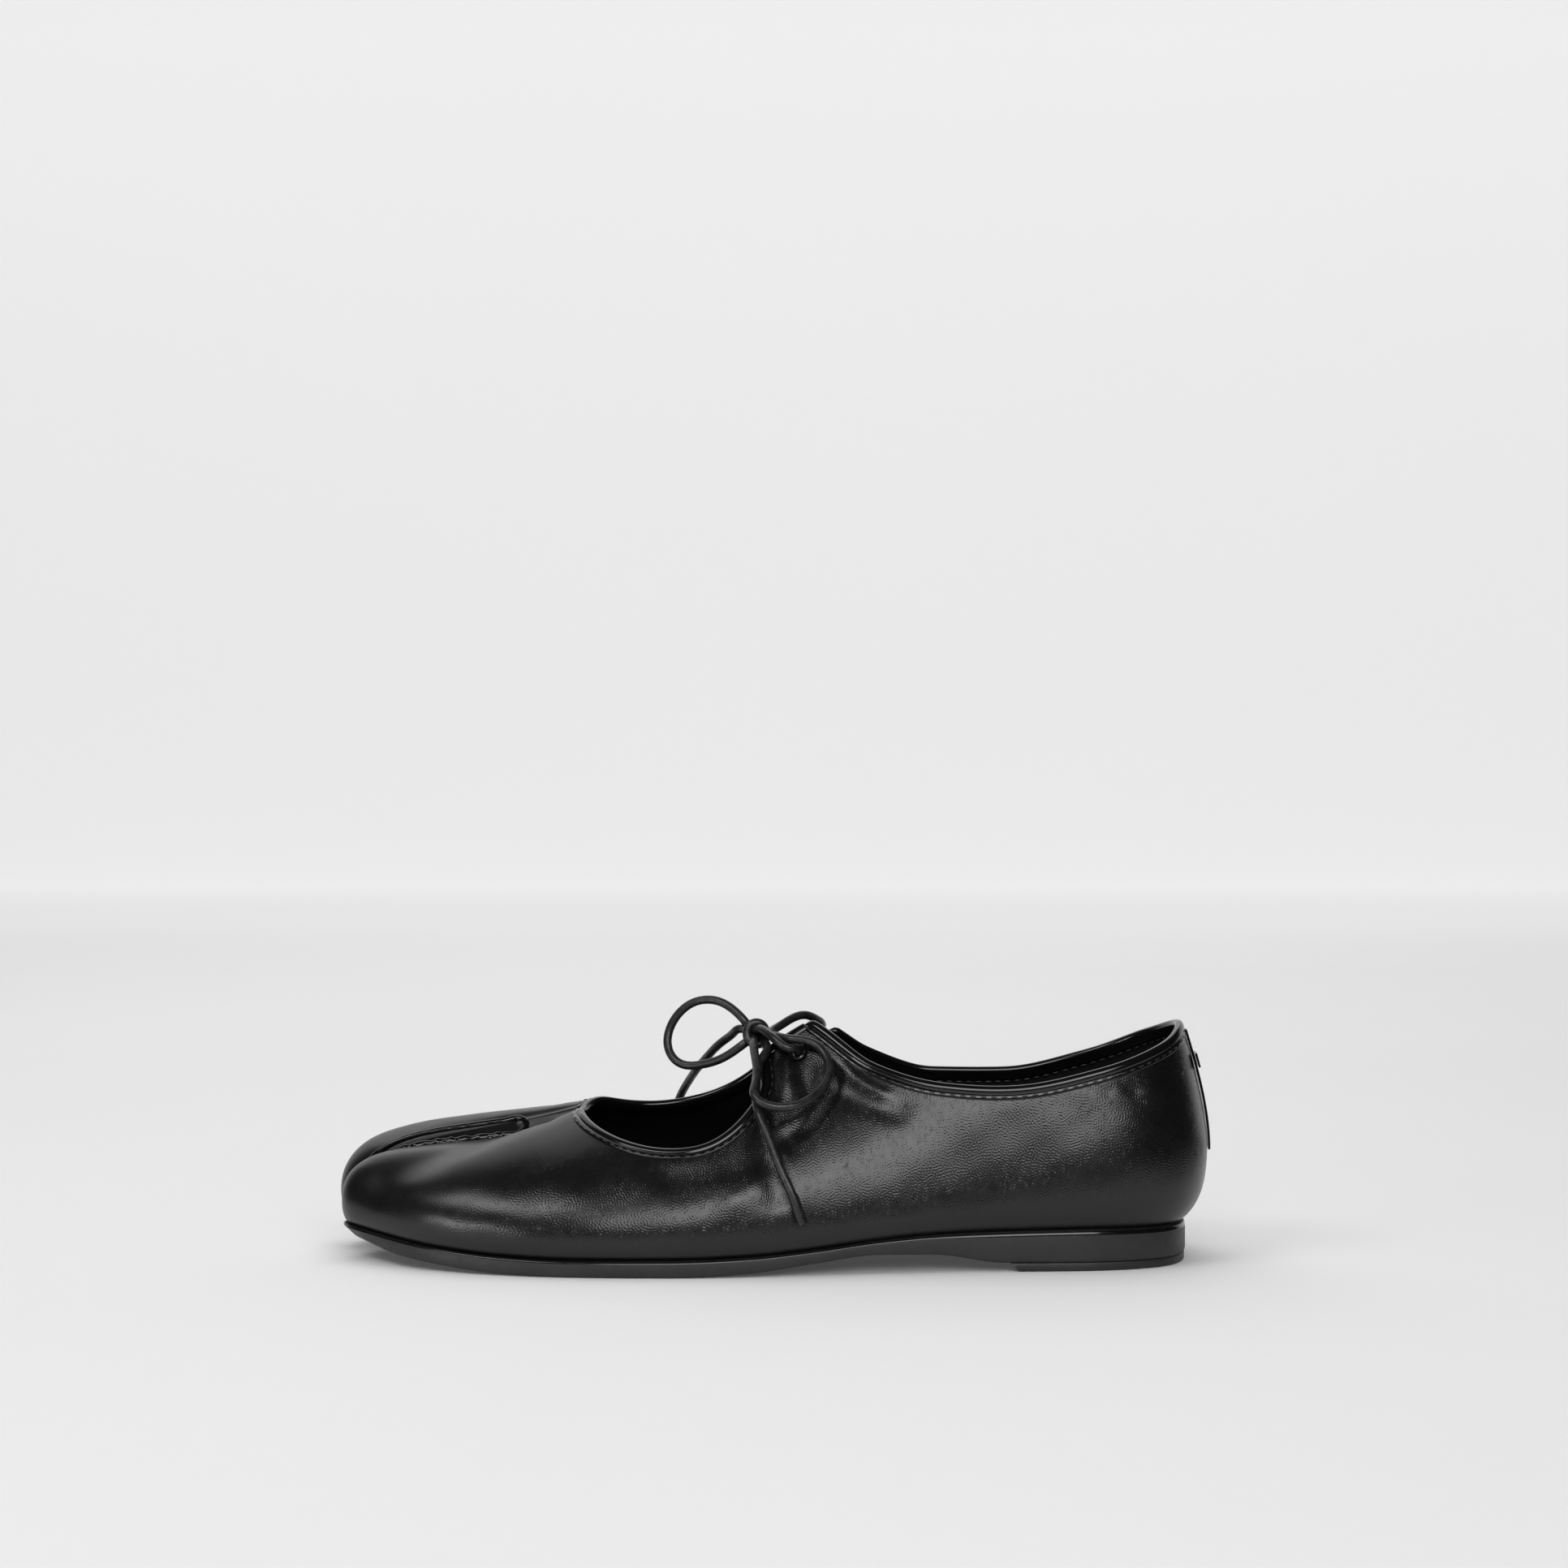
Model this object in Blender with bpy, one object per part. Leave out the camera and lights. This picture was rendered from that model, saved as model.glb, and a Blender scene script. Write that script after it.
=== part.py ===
"""A left split-toe flat with a tied instep, built as the separate pieces that a shoemaker joins.

Metres, +Z up, toe towards -X, outer (lateral) side towards -Y. The tables are in millimetres.
"""

import math
from collections import namedtuple

import bmesh
import bpy
import numpy as np
from mathutils import Vector

MM = 0.001

# Driving sizes, in millimetres
WALL = 1.6
GAP = 0.3
BINDING_DIAMETER = 2.4
BINDING_CLEARANCE = 0.4
BINDING_POINT_STEP = 4.4
SOLE_LIP = 1.4
SOLE_EDGE_ROUND = 1.3
INSOLE_THICKNESS = 2.0
INSOLE_CLEARANCE = 0.6
HEEL_LIFT_THICKNESS = 2.2
HEEL_LIFT_FRONT = 70.0
HEEL_BREAST_SLANT = 2.4
LACE_DIAMETER = 2.5

# The cleft between the big toe and the others
CLEFT_MIDDLE_Y = 5.4
CLEFT_HALF_GAP = 1.25
CLEFT_CROTCH_HALF = 0.35
CLEFT_REAR_X = -73.0
CLEFT_NOTCH_X = -103.0
CLEFT_FLARE = 1.2
CLEFT_FLARE_LENGTH = 16.0
CLEFT_WALL_COLUMNS = 3
WELT_DIAMETER = 1.5
WELT_FROM_RIM = 1.3
WELT_LOWEST_SHARE = 0.05
WELT_TURN = (2.4, 0.0, 0.6)
WELT_POINT_STEP = 3.6

# Sections of the last, in three tables. A section's two ribs end at its crown, half a width to each side,
# and tuck under by the same amount to meet the sole.
Crown = namedtuple("Crown", "name x y half z tuck")
CROWNS = [
    Crown("heel_back", 116.3, 0.0, 0.0, 77, 7.8),
    Crown("heel_corner", 109.3, 0.0, 14.2, 77, 6.4),
    Crown("heel_seat", 92.5, 0.0, 20.8, 77, 4.6),
    Crown("quarter", 67.0, 0.0, 22.6, 77, 4.0),
    Crown("waist", 43.0, 0.5, 20.0, 77.5, 3.8),
    Crown("instep_rear", 22.0, 1.0, 11.5, 78, 3.6),
    Crown("tab_rear", 7.5, 1.6, 4.8, 74.5, 3.4),
    Crown("tab_front", -8.5, 2.0, 3.2, 64.5, 3.2),
    Crown("throat_rear", -23.0, 2.6, 3.2, 56, 3.0),
    Crown("ball", -36.5, 3.4, 4.4, 50, 2.9),
    Crown("joint", -45.0, 4.2, 6.2, 46.6, 2.7),
    Crown("toes", -49.2, 4.8, 7.2, 44.9, 2.4),
    Crown("toe_corner", -51.0, 5.2, 6.6, 44.1, 2.0),
    Crown("toe_front", -51.7, 5.4, 5.4, 43.8, 1.9),
    Crown("toe_tip", -52.0, 5.4, 4.3, 43.7, 1.8),
    Crown("toe_bend", -52.0, 5.4, 3.3, 43.7, 1.8),
    Crown("toe_rim", -52.0, 5.4, 2.45, 43.7, 1.8),
]

# Each rib leaves its widest point upwards, towards its shoulder height. It comes in to the crown from the
# height of its turn, which lies a share of the way out from the crown.
Rib = namedtuple("Rib", "name x y z shoulder turn reach")
LATERAL_RIBS = [
    Rib("heel_back", 126.4, 0.0, 31, 46, 61.5, 0.45),
    Rib("heel_corner", 118.3, -22.3, 28.5, 44, 60.5, 0.45),
    Rib("heel_seat", 96.0, -32.0, 24, 41, 59, 0.42),
    Rib("quarter", 71.0, -33.6, 20.5, 38, 57.5, 0.40),
    Rib("waist", 51.0, -35.0, 18.5, 37, 57.2, 0.42),
    Rib("instep_rear", 34.5, -37.0, 16.5, 37, 58.3, 0.44),
    Rib("tab_rear", 20.0, -39.0, 15, 36, 58.3, 0.46),
    Rib("tab_front", 3.0, -41.3, 13.3, 33, 51.9, 0.48),
    Rib("throat_rear", -14.0, -43.0, 11.8, 29, 44.7, 0.50),
    Rib("ball", -34.0, -43.3, 11, 26, 39.2, 0.52),
    Rib("joint", -57.0, -41.7, 11, 24.5, 35.6, 0.54),
    Rib("toes", -80.0, -36.6, 11.8, 24.5, 33.1, 0.57),
    Rib("toe_corner", -101.0, -27.0, 13.2, 27.5, 31.5, 0.61),
    Rib("toe_front", -115.6, -16.0, 15.4, 31.2, 30.5, 0.42),
    Rib("toe_tip", -123.0, -6.5, 16.6, 40.5, 24.7, 0.35),
    Rib("toe_bend", -121.9, 0.9, 16.8, 40.3, 24.9, 0.33),
    Rib("toe_rim", -117.4, 4.15, 16.2, 40, 25.2, 0.30),
]
MEDIAL_RIBS = [
    Rib("heel_back", 126.4, 0.0, 31, 46, 61.5, 0.45),
    Rib("heel_corner", 118.3, 21.6, 28.5, 44, 60.5, 0.45),
    Rib("heel_seat", 96.0, 31.0, 24.5, 41, 59, 0.42),
    Rib("quarter", 72.0, 31.0, 21.5, 39, 58, 0.40),
    Rib("waist", 51.0, 30.2, 20.5, 39, 58.2, 0.42),
    Rib("instep_rear", 33.0, 30.8, 19, 39, 59.3, 0.44),
    Rib("tab_rear", 19.0, 32.8, 17.5, 38, 59.2, 0.46),
    Rib("tab_front", 5.0, 36.0, 15.8, 35, 52.7, 0.48),
    Rib("throat_rear", -9.0, 39.3, 14.2, 32, 45.9, 0.50),
    Rib("ball", -27.0, 42.2, 13, 30, 41, 0.52),
    Rib("joint", -51.0, 43.3, 12, 29, 37.8, 0.54),
    Rib("toes", -79.0, 41.6, 12.6, 30, 36.3, 0.57),
    Rib("toe_corner", -103.5, 36.6, 14.2, 34.8, 37, 0.61),
    Rib("toe_front", -119.2, 29.3, 15.8, 38, 36.8, 0.60),
    Rib("toe_tip", -126.6, 19.6, 17, 39.2, 36.4, 0.57),
    Rib("toe_bend", -124.6, 11.4, 16.8, 37.6, 35.2, 0.54),
    Rib("toe_rim", -118.8, 6.65, 16.2, 40.5, 31.5, 0.50),
]

# Height of the leather's edge along the collar and the ends of the tabs, at section numbers of each side
Edge = namedtuple("Edge", "lat_section lat_z med_section med_z")
COLLAR_EDGE = [
    Edge(0, 65.7, 0, 65.7),
    Edge(1, 60.9, 1, 62.1),
    Edge(2, 54.3, 2, 54.7),
    Edge(3, 49.4, 3, 49.4),
    Edge(4, 50.3, 4, 49.6),
    Edge(5, 55.7, 5, 56.4),
    Edge(6, 67.6, 5.62, 63.6),
]
TAB_EDGE = [COLLAR_EDGE[-1], Edge(6.72, 60.3, 6.55, 58.4)]
TAB_FRONT_STEP = 0.07

# The throat's outline in plan: a quarter of an oval at each end of each side, closed by the tabs at the back
Throat = namedtuple("Throat", "widest_x half back_reach")
THROAT_FRONT_X = -56.6
THROAT_LATERAL = Throat(-20.0, 31.8, 27.0)
THROAT_MEDIAL = Throat(-30.0, 23.8, 45.0)

# Top and bottom of the sole along the shoe
SoleLine = namedtuple("SoleLine", "x top bottom")
SOLE_LINES = [
    SoleLine(-128, 11.1, 7.4),
    SoleLine(-112, 8.8, 4.8),
    SoleLine(-95, 6.6, 2.3),
    SoleLine(-75, 5.0, 0.5),
    SoleLine(-55, 4.4, 0.0),
    SoleLine(-28, 4.5, 0.0),
    SoleLine(-6, 5.2, 1.0),
    SoleLine(12, 6.8, 3.3),
    SoleLine(30, 9.0, 5.4),
    SoleLine(46, 10.3, 5.2),
    SoleLine(66, 11.0, 2.6),
    SoleLine(90, 11.4, 2.5),
    SoleLine(122, 11.0, 2.5),
]
SOLE_STATION_STEP = 9.0
SOLE_STATION_INSET = 3.0

# Strip up the back seam, and the bar across it
HEEL_TAB_HALF_WIDTH = 4.5
HEEL_TAB_THICKNESS = 0.7
HEEL_BAR_HALF_WIDTH = 6.0
HEEL_BAR_THICKNESS = 0.6
HEEL_BAR_HEIGHTS = (54.3, 58.4)

# One eyelet in each tab, at a section number and a height
Eyelet = namedtuple("Eyelet", "name side section height")
EYELETS = [Eyelet("eyelet_lateral", "lat", 6.23, 59.8), Eyelet("eyelet_medial", "med", 5.95, 57.4)]
EYELET_BORE = 1.55
EYELET_BARREL = 1.8
EYELET_FLANGE = 2.3
EYELET_PROUD = 0.8
EYELET_ROUND = 0.2
EYELET_STEPS = 20

# The knot, and the routes of the lace outside it
KNOT = (-4.0, -5.0, 64.6)
KNOT_RADII = (4.0, 3.6, 4.4)
KNOT_CLEARANCE = 0.5
LACE_TIP_LENGTH = 8.5
LACE_POINT_STEP = 5.6
LACE_FINE_STEP = 0.4
LACE_CHORD_ROOM = 0.6
BAR_POINT_STEP = 2.5
BAR_HEIGHTS = (-2.6, -0.9, 0.9, 2.6)
BAR_ROUTES = {
    "lace_bar_lateral": [(5.3, -18.8, 61.4), (2.4, -17.6, 63.3), (-0.4, -14.2, 65.2), (-2.4, -10.4, 66.6)],
    "lace_bar_medial": [
        (15.4, 18.6, 64.2), (13.9, 12.8, 67.1), (9.9, 8.0, 68.9), (6.2, 5.0, 67.9), (3.2, 2.2, 66.2),
        (0.8, -0.4, 65.0),
    ],
}
LOOP_ROUTES = {
    "lace_loop_front": [
        (-7.0, -3.8, 67.8), (-10.1, -1.5, 70.8), (-14.2, 1.0, 73.2), (-18.5, 3.0, 73.7), (-22.8, 4.5, 72.5),
        (-26.6, 5.0, 69.4), (-29.2, 5.0, 64.9), (-29.8, 4.0, 60.8), (-28.4, 2.5, 57.1), (-25.0, 0.5, 54.9),
        (-20.2, -1.5, 55.1), (-15.5, -3.4, 56.4), (-11.2, -4.8, 58.7), (-7.5, -5.2, 61.4),
    ],
    "lace_loop_side": [
        (-4.6, -10.8, 63.2), (-4.2, -17.8, 60.2), (-3.4, -24.2, 56.4), (-3.8, -29.8, 52.4), (-4.1, -34.0, 49.5),
        (-1.1, -35.8, 47.4), (3.3, -36.0, 46.6), (7.6, -35.0, 47.0), (12.2, -32.2, 49.1), (16.0, -28.5, 52.8),
        (17.1, -25.0, 56.2), (16.1, -21.5, 59.4), (13.5, -18.8, 62.4), (10.6, -17.2, 63.5), (7.7, -16.4, 63.8),
        (4.7, -15.0, 63.9), (2.2, -12.4, 64.6), (-0.6, -9.0, 64.6),
    ],
}
END_ROUTES = {
    "front": [
        (-8.2, -2.0, 65.8), (-10.4, 1.4, 64.2), (-14.2, 7.0, 60.8), (-18.3, 14.0, 56.2), (-21.6, 20.6, 51.9),
        (-24.3, 27.0, 47.6), (-26.7, 31.8, 43.2), (-28.7, 35.4, 37.6), (-30.7, 39.2, 30.0),
    ],
    "side": [
        (-1.2, -8.6, 61.6), (-0.4, -13.2, 60.6), (-1.9, -15.8, 58.6), (-3.0, -18.2, 56.2), (-3.6, -21.8, 53.4),
        (-3.8, -26.0, 50.0), (-3.5, -30.0, 46.9), (-2.8, -33.2, 44.4), (-1.6, -35.2, 41.6), (0.2, -37.2, 37.6),
        (2.0, -39.5, 33.0), (4.0, -41.3, 28.5), (6.4, -42.6, 23.5), (7.9, -43.0, 19.4), (9.2, -43.2, 15.6),
    ],
}

COLUMNS_PER_SECTION = 3
ROWS_BELOW = 3
ROWS_ABOVE = 9


# Smooth curves through table rows


def spline_slopes(at, values):
    """Slopes of the natural cubic spline through the values."""
    n = len(at)
    step = np.diff(at)
    matrix = np.zeros((n, n))
    right = np.zeros((n, values.shape[1]))
    rise = np.diff(values, axis=0) / step[:, None]
    matrix[0, :2] = 2, 1
    matrix[-1, -2:] = 1, 2
    right[0], right[-1] = 3 * rise[0], 3 * rise[-1]
    for i in range(1, n - 1):
        matrix[i, i - 1 : i + 2] = step[i], 2 * (step[i - 1] + step[i]), step[i - 1]
        right[i] = 3 * (step[i] * rise[i - 1] + step[i - 1] * rise[i])
    return np.linalg.solve(matrix, right)


def monotone_slopes(at, values):
    """Slopes that keep a curve between its rows, with no overshoot."""
    rise = np.diff(values, axis=0) / np.diff(at)[:, None]
    slopes = np.concatenate([rise[:1], np.zeros((len(at) - 2, values.shape[1])), rise[-1:]])
    for i in range(1, len(at) - 1):
        same = rise[i - 1] * rise[i] > 0
        total = np.where(same, rise[i - 1] + rise[i], 1)
        slopes[i] = np.where(same, 2 * rise[i - 1] * rise[i] / total, 0)
    return slopes


def hermite(at, values, slopes, where):
    """The cubic through values with slopes, read at the given places."""
    where = np.atleast_1d(np.asarray(where, float))
    i = np.clip(np.searchsorted(at, where) - 1, 0, len(at) - 2)
    step = (at[i + 1] - at[i])[:, None]
    t = (where - at[i])[:, None] / step
    return (
        values[i] * (1 + 2 * t) * (1 - t) ** 2
        + slopes[i] * step * t * (1 - t) ** 2
        + values[i + 1] * t**2 * (3 - 2 * t)
        + slopes[i + 1] * step * t**2 * (t - 1)
    )


def bezier(points, t):
    """Cubic curves with rows of four control points, at one t for each row."""
    a, b, c, d = points
    t = np.broadcast_to(t, len(a))[:, None]
    return a * (1 - t) ** 3 + 3 * b * t * (1 - t) ** 2 + 3 * c * t**2 * (1 - t) + d * t**3


def smooth_step(t):
    t = np.clip(t, 0, 1)
    return t * t * (3 - 2 * t)


SOLE_X = np.array([line.x for line in SOLE_LINES], float)
SOLE_Z = np.array([[line.top, line.bottom] for line in SOLE_LINES])
SOLE_SLOPES = monotone_slopes(SOLE_X, SOLE_Z)


def sole_heights(x):
    """Top and bottom of the sole at x."""
    return hermite(SOLE_X, SOLE_Z, SOLE_SLOPES, x).T


# The last


def rib_nodes():
    """The sections as one row of ribs from the lateral rim of the cleft, round the heel, to the medial rim."""

    def rows(ribs, sign):
        return [
            [rib.x, rib.y, rib.z, crown.x, crown.y + sign * crown.half, crown.z, rib.shoulder, crown.tuck]
            + [rib.turn, rib.reach]
            for rib, crown in zip(ribs, CROWNS)
        ]

    return np.array(rows(LATERAL_RIBS, -1)[::-1] + rows(MEDIAL_RIBS, 1)[1:])


RIBS = rib_nodes()
LAST_SECTION = len(CROWNS) - 1
GIRTH = np.concatenate([[0], np.cumsum(np.linalg.norm(np.diff(RIBS[:, :2], axis=0), axis=1))])
RIB_SLOPES = spline_slopes(GIRTH, RIBS)


def girth_of(section, side):
    """Place along the girth of a section number, which may lie between two sections."""
    index = LAST_SECTION - section if side == "lat" else LAST_SECTION + section
    return float(np.interp(index, np.arange(len(GIRTH)), GIRTH))


def rib_row(girth):
    return hermite(GIRTH, RIBS, RIB_SLOPES, girth)


def inward_at(girth):
    """Level directions into the shoe, square to the widest line."""
    girth = np.atleast_1d(girth)
    ahead = rib_row(np.minimum(girth + 0.05, GIRTH[-1]))
    behind = rib_row(np.maximum(girth - 0.05, 0))
    along = ahead[:, :2] - behind[:, :2]
    along /= np.linalg.norm(along, axis=1)[:, None]
    return np.stack([-along[:, 1], along[:, 0], np.zeros(len(girth))], axis=1)


def upward(heights):
    return np.outer(heights, (0, 0, 1))


def feather_at(girth):
    """The line where the upper meets the sole."""
    row = rib_row(girth)
    feather = row[:, :3] + inward_at(girth) * row[:, 7:8]
    feather[:, 2] = sole_heights(feather[:, 0])[0] + GAP
    return feather


def lower_ribs(girth):
    """Control points from the feather line out to the widest line."""
    row = rib_row(girth)
    widest, tuck = row[:, :3], row[:, 7:8]
    feather = feather_at(girth)
    height = widest[:, 2] - feather[:, 2]
    flare = feather - 0.7 * tuck * inward_at(girth) + upward(0.18 * height)
    return feather, flare, widest - upward(0.5 * height), widest


def upper_ribs(girth):
    """Control points from the widest line up and over to the crown."""
    row = rib_row(girth)
    widest, crown = row[:, :3], row[:, 3:6]
    shoulder, turn_height, reach = row[:, 6], row[:, 8], row[:, 9:10]
    rise = np.column_stack([widest[:, :2], shoulder])
    turn = crown + reach * (widest - crown)
    turn[:, 2] = turn_height
    return widest, rise, turn, crown


def share_where(girth, reached):
    """The share of each rib at which reached(points) turns true."""
    ribs = upper_ribs(girth)
    low, high = np.zeros(len(ribs[0])), np.ones(len(ribs[0]))
    for _ in range(40):
        middle = (low + high) / 2
        over = reached(bezier(ribs, middle))
        low, high = np.where(over, low, middle), np.where(over, middle, high)
    return low


def share_at_height(girth, height):
    return share_where(girth, lambda points: points[:, 2] >= height)


def in_throat(points):
    """Whether points lie inside the throat's outline, in plan."""
    x, y = points[:, 0], points[:, 1]
    widest_x, half, back_reach = np.where((y < 0)[:, None], THROAT_LATERAL, THROAT_MEDIAL).T
    along = (x - widest_x) / np.where(x < widest_x, widest_x - THROAT_FRONT_X, back_reach)
    return along**2 + (y / half) ** 2 <= 1


def share_at_throat(girth):
    return share_where(girth, in_throat)


def edge_nodes(table, side):
    """Places along the girth and shares of the ribs for a table's rows on one side, in the girth's order."""
    at = np.array([girth_of(getattr(edge, f"{side}_section"), side) for edge in table])
    share = share_at_height(at, np.array([getattr(edge, f"{side}_z") for edge in table]))
    order = np.argsort(at)
    return at[order], share[order]


COLLAR_NODES = [
    np.concatenate([lateral, medial[1:]])
    for lateral, medial in zip(edge_nodes(COLLAR_EDGE, "lat"), edge_nodes(COLLAR_EDGE, "med"))
]
COLLAR_SLOPES = monotone_slopes(COLLAR_NODES[0], COLLAR_NODES[1][:, None])
TAB_NODES = {side: edge_nodes(TAB_EDGE, side) for side in ("lat", "med")}


def tab_front_girths(side):
    """Places along the girth of the tab's front corner, and of the throat's edge below it."""
    section = getattr(TAB_EDGE[1], f"{side}_section")
    return girth_of(section, side), girth_of(section + TAB_FRONT_STEP, side)


def top_share(girth):
    """The share of each rib at which the leather ends."""
    girth = np.atleast_1d(np.asarray(girth, float))
    share = share_at_throat(girth)
    for side in ("lat", "med"):
        corner, foot = tab_front_girths(side)
        foot_share = share_at_throat(foot)[0]
        corner_share = np.interp(corner, *TAB_NODES[side])
        step = np.clip((girth - foot) / (corner - foot), 0, 1)
        front = (step > 0) & (step < 1)
        share[front] = foot_share + (corner_share - foot_share) * step[front]
        tab = (girth >= TAB_NODES[side][0][0]) & (girth <= TAB_NODES[side][0][-1])
        share[tab] = np.interp(girth[tab], *TAB_NODES[side])
    at, shares = COLLAR_NODES
    collar = (girth >= at[0]) & (girth <= at[-1])
    share[collar] = hermite(at, shares[:, None], COLLAR_SLOPES, girth[collar])[:, 0]
    return share


def surface(girth, share):
    """Points of the upper's outer face above the widest line."""
    return bezier(upper_ribs(np.atleast_1d(girth)), share)


def normal_at(girth, share):
    """Outward directions of the upper's outer face."""
    girth = np.atleast_1d(girth)
    share = np.broadcast_to(share, len(girth))
    forward, back = np.minimum(girth + 0.2, GIRTH[-1]), np.maximum(girth - 0.2, 0)
    high, low = np.minimum(share + 0.002, 1), np.maximum(share - 0.002, 0)
    across = surface(forward, share) - surface(back, share)
    up = surface(girth, high) - surface(girth, low)
    normal = np.cross(across, up)
    return normal / np.linalg.norm(normal, axis=1)[:, None]


# The upper's outer face as a grid of columns round the girth and rows up the ribs


def girth_columns():
    """Places of the columns along the girth, with one at each corner of the tabs."""
    sections = np.arange(0, LAST_SECTION * COLUMNS_PER_SECTION + 1) / COLUMNS_PER_SECTION
    corners = {
        "lat": [tab.lat_section for tab in TAB_EDGE],
        "med": [tab.med_section for tab in TAB_EDGE],
    }
    girths = []
    for side, fixed in corners.items():
        foot = fixed[1] + TAB_FRONT_STEP
        places = fixed + [foot]
        clear = [section for section in sections if min(abs(section - place) for place in places) > 0.12]
        girths += [girth_of(section, side) for section in places + clear]
    return np.unique(np.round(girths, 6))


def rim_half_gap(x):
    return CLEFT_HALF_GAP + CLEFT_FLARE * smooth_step((x - CLEFT_REAR_X) / CLEFT_FLARE_LENGTH)


def cleft_walls(rim, sign):
    """Columns from one rim of the cleft down to its crotch, which slants from the rear end to the notch."""
    length = np.concatenate([[0], np.cumsum(np.linalg.norm(np.diff(rim, axis=0), axis=1))])
    top = int(np.argmin(rim[:, 0]))
    rear = np.interp(CLEFT_REAR_X, rim[top:, 0], length[top:])
    rear_z = np.interp(CLEFT_REAR_X, rim[top:, 0], rim[top:, 2])
    notch_z = sole_heights(CLEFT_NOTCH_X)[0][0] + GAP + WALL
    depth = np.clip(1 - length / rear, 0, 1)[:, None]
    slant = np.array([CLEFT_REAR_X, CLEFT_MIDDLE_Y, rear_z]) * (1 - depth)
    slant = slant + np.array([CLEFT_NOTCH_X, CLEFT_MIDDLE_Y, notch_z]) * depth
    crotch = np.where(depth > 0, slant, rim)
    walls = []
    for column in range(1, CLEFT_WALL_COLUMNS + 1):
        share = column / CLEFT_WALL_COLUMNS
        wall = rim * (1 - share) + crotch * share
        half = rim_half_gap(rim[:, 0]) * (1 - share) + CLEFT_CROTCH_HALF * share
        wall[:, 1] = CLEFT_MIDDLE_Y + sign * half
        walls.append(wall)
    return walls


def upper_grid():
    """Outer face of the upper: columns, rows, xyz. The last column closes on the first."""
    girth = girth_columns()
    lower, upper = lower_ribs(girth), upper_ribs(girth)
    share = top_share(girth)
    rows = [bezier(lower, t) for t in np.linspace(0, 1, ROWS_BELOW + 1)]
    rows += [bezier(upper, t * share) for t in np.linspace(0, 1, ROWS_ABOVE + 1)[1:]]
    grid = np.stack(rows, axis=1)
    for column, sign in ((0, -1), (-1, 1)):
        grid[column, :, 1] = CLEFT_MIDDLE_Y + sign * rim_half_gap(grid[column, :, 0])
    medial = cleft_walls(grid[-1], 1)
    lateral = cleft_walls(grid[0], -1)
    return np.concatenate([grid, medial, lateral[::-1], grid[:1]])


# Blender objects


def clear_scene():
    for item in list(bpy.data.objects):
        bpy.data.objects.remove(item, do_unlink=True)


def finish(name, colour, roughness, metallic=0.0):
    """A material with a Principled shader."""
    material = bpy.data.materials.new(name)
    material.use_nodes = True
    shader = material.node_tree.nodes["Principled BSDF"]
    shader.inputs["Base Color"].default_value = (*colour, 1)
    shader.inputs["Roughness"].default_value = roughness
    shader.inputs["Metallic"].default_value = metallic
    return material


def link(name, data, material):
    item = bpy.data.objects.new(name, data)
    bpy.context.collection.objects.link(item)
    data.materials.append(material)
    return item


def mesh_object(name, bm, material):
    """An object from a bmesh, shaded smooth between its sharp edges."""
    mesh = bpy.data.meshes.new(name)
    bm.to_mesh(mesh)
    bm.free()
    mesh.shade_smooth()
    mesh.set_sharp_from_angle(angle=math.radians(40))
    return link(name, mesh, material)


def grid_sheet(points):
    """A bmesh sheet from a grid of points in millimetres, closed where two edge columns coincide."""
    columns, rows = points.shape[:2]
    bm = bmesh.new()
    made = bmesh.ops.create_grid(bm, x_segments=columns - 1, y_segments=rows - 1, size=1)
    flat = points.transpose(1, 0, 2).reshape(-1, 3) * MM
    for vertex, place in zip(made["verts"], flat):
        vertex.co = place
    bmesh.ops.remove_doubles(bm, verts=bm.verts, dist=1e-7)
    return bm


def thicken(item, thickness, offset):
    """A wall on one side of a sheet: inward with offset -1, outward with offset 1."""
    wall = item.modifiers.new("wall", "SOLIDIFY")
    wall.thickness = thickness * MM
    wall.offset = offset
    wall.use_even_offset = True
    wall.use_quality_normals = True


def tube(name, points, diameter, material, sides=2):
    """A round tube along points in millimetres."""
    curve = bpy.data.curves.new(name, "CURVE")
    curve.dimensions = "3D"
    curve.bevel_depth = diameter / 2 * MM
    curve.bevel_resolution = sides
    curve.use_fill_caps = True
    spline = curve.splines.new("POLY")
    spline.points.add(len(points) - 1)
    for point, place in zip(spline.points, points):
        point.co = (*(np.asarray(place) * MM), 1)
    return link(name, curve, material)


# Routes and frames


def polyline_length(points):
    return np.concatenate([[0], np.cumsum(np.linalg.norm(np.diff(points, axis=0), axis=1))])


def smooth_route(points, step):
    """Even points on a smooth curve through a route's own points."""
    points = np.asarray(points, float)
    at = polyline_length(points)
    slopes = spline_slopes(at, points)
    return even_points(hermite(at, points, slopes, np.linspace(0, at[-1], 400)), step)


def even_points(points, step, start=0.0, short=0.0):
    """Points about a step apart along a run of points, from a start to a little short of its end."""
    length = polyline_length(points)
    stop = length[-1] - short
    even = np.linspace(start, stop, int(math.ceil((stop - start) / step)) + 1)
    return np.stack([np.interp(even, length, points[:, axis]) for axis in range(3)], axis=1)


def edge_tube_path(girth, share, step, inward_side):
    """A path beside an edge of the upper, centred on its wall and clear of it."""
    edge, normal = surface(girth, share), normal_at(girth, share)
    length = polyline_length(edge)
    even = np.linspace(0, length[-1], int(length[-1] / step) + 1)
    edge = np.stack([np.interp(even, length, edge[:, axis]) for axis in range(3)], axis=1)
    normal = np.stack([np.interp(even, length, normal[:, axis]) for axis in range(3)], axis=1)
    for _ in range(2):
        edge[1:-1] = (edge[:-2] + 2 * edge[1:-1] + edge[2:]) / 4
    along = np.gradient(edge, axis=0)
    away = np.cross(normal, along) * inward_side
    away /= np.linalg.norm(away, axis=1)[:, None]
    return edge - normal * WALL / 2 + away * (BINDING_CLEARANCE + BINDING_DIAMETER / 2), normal


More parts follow.
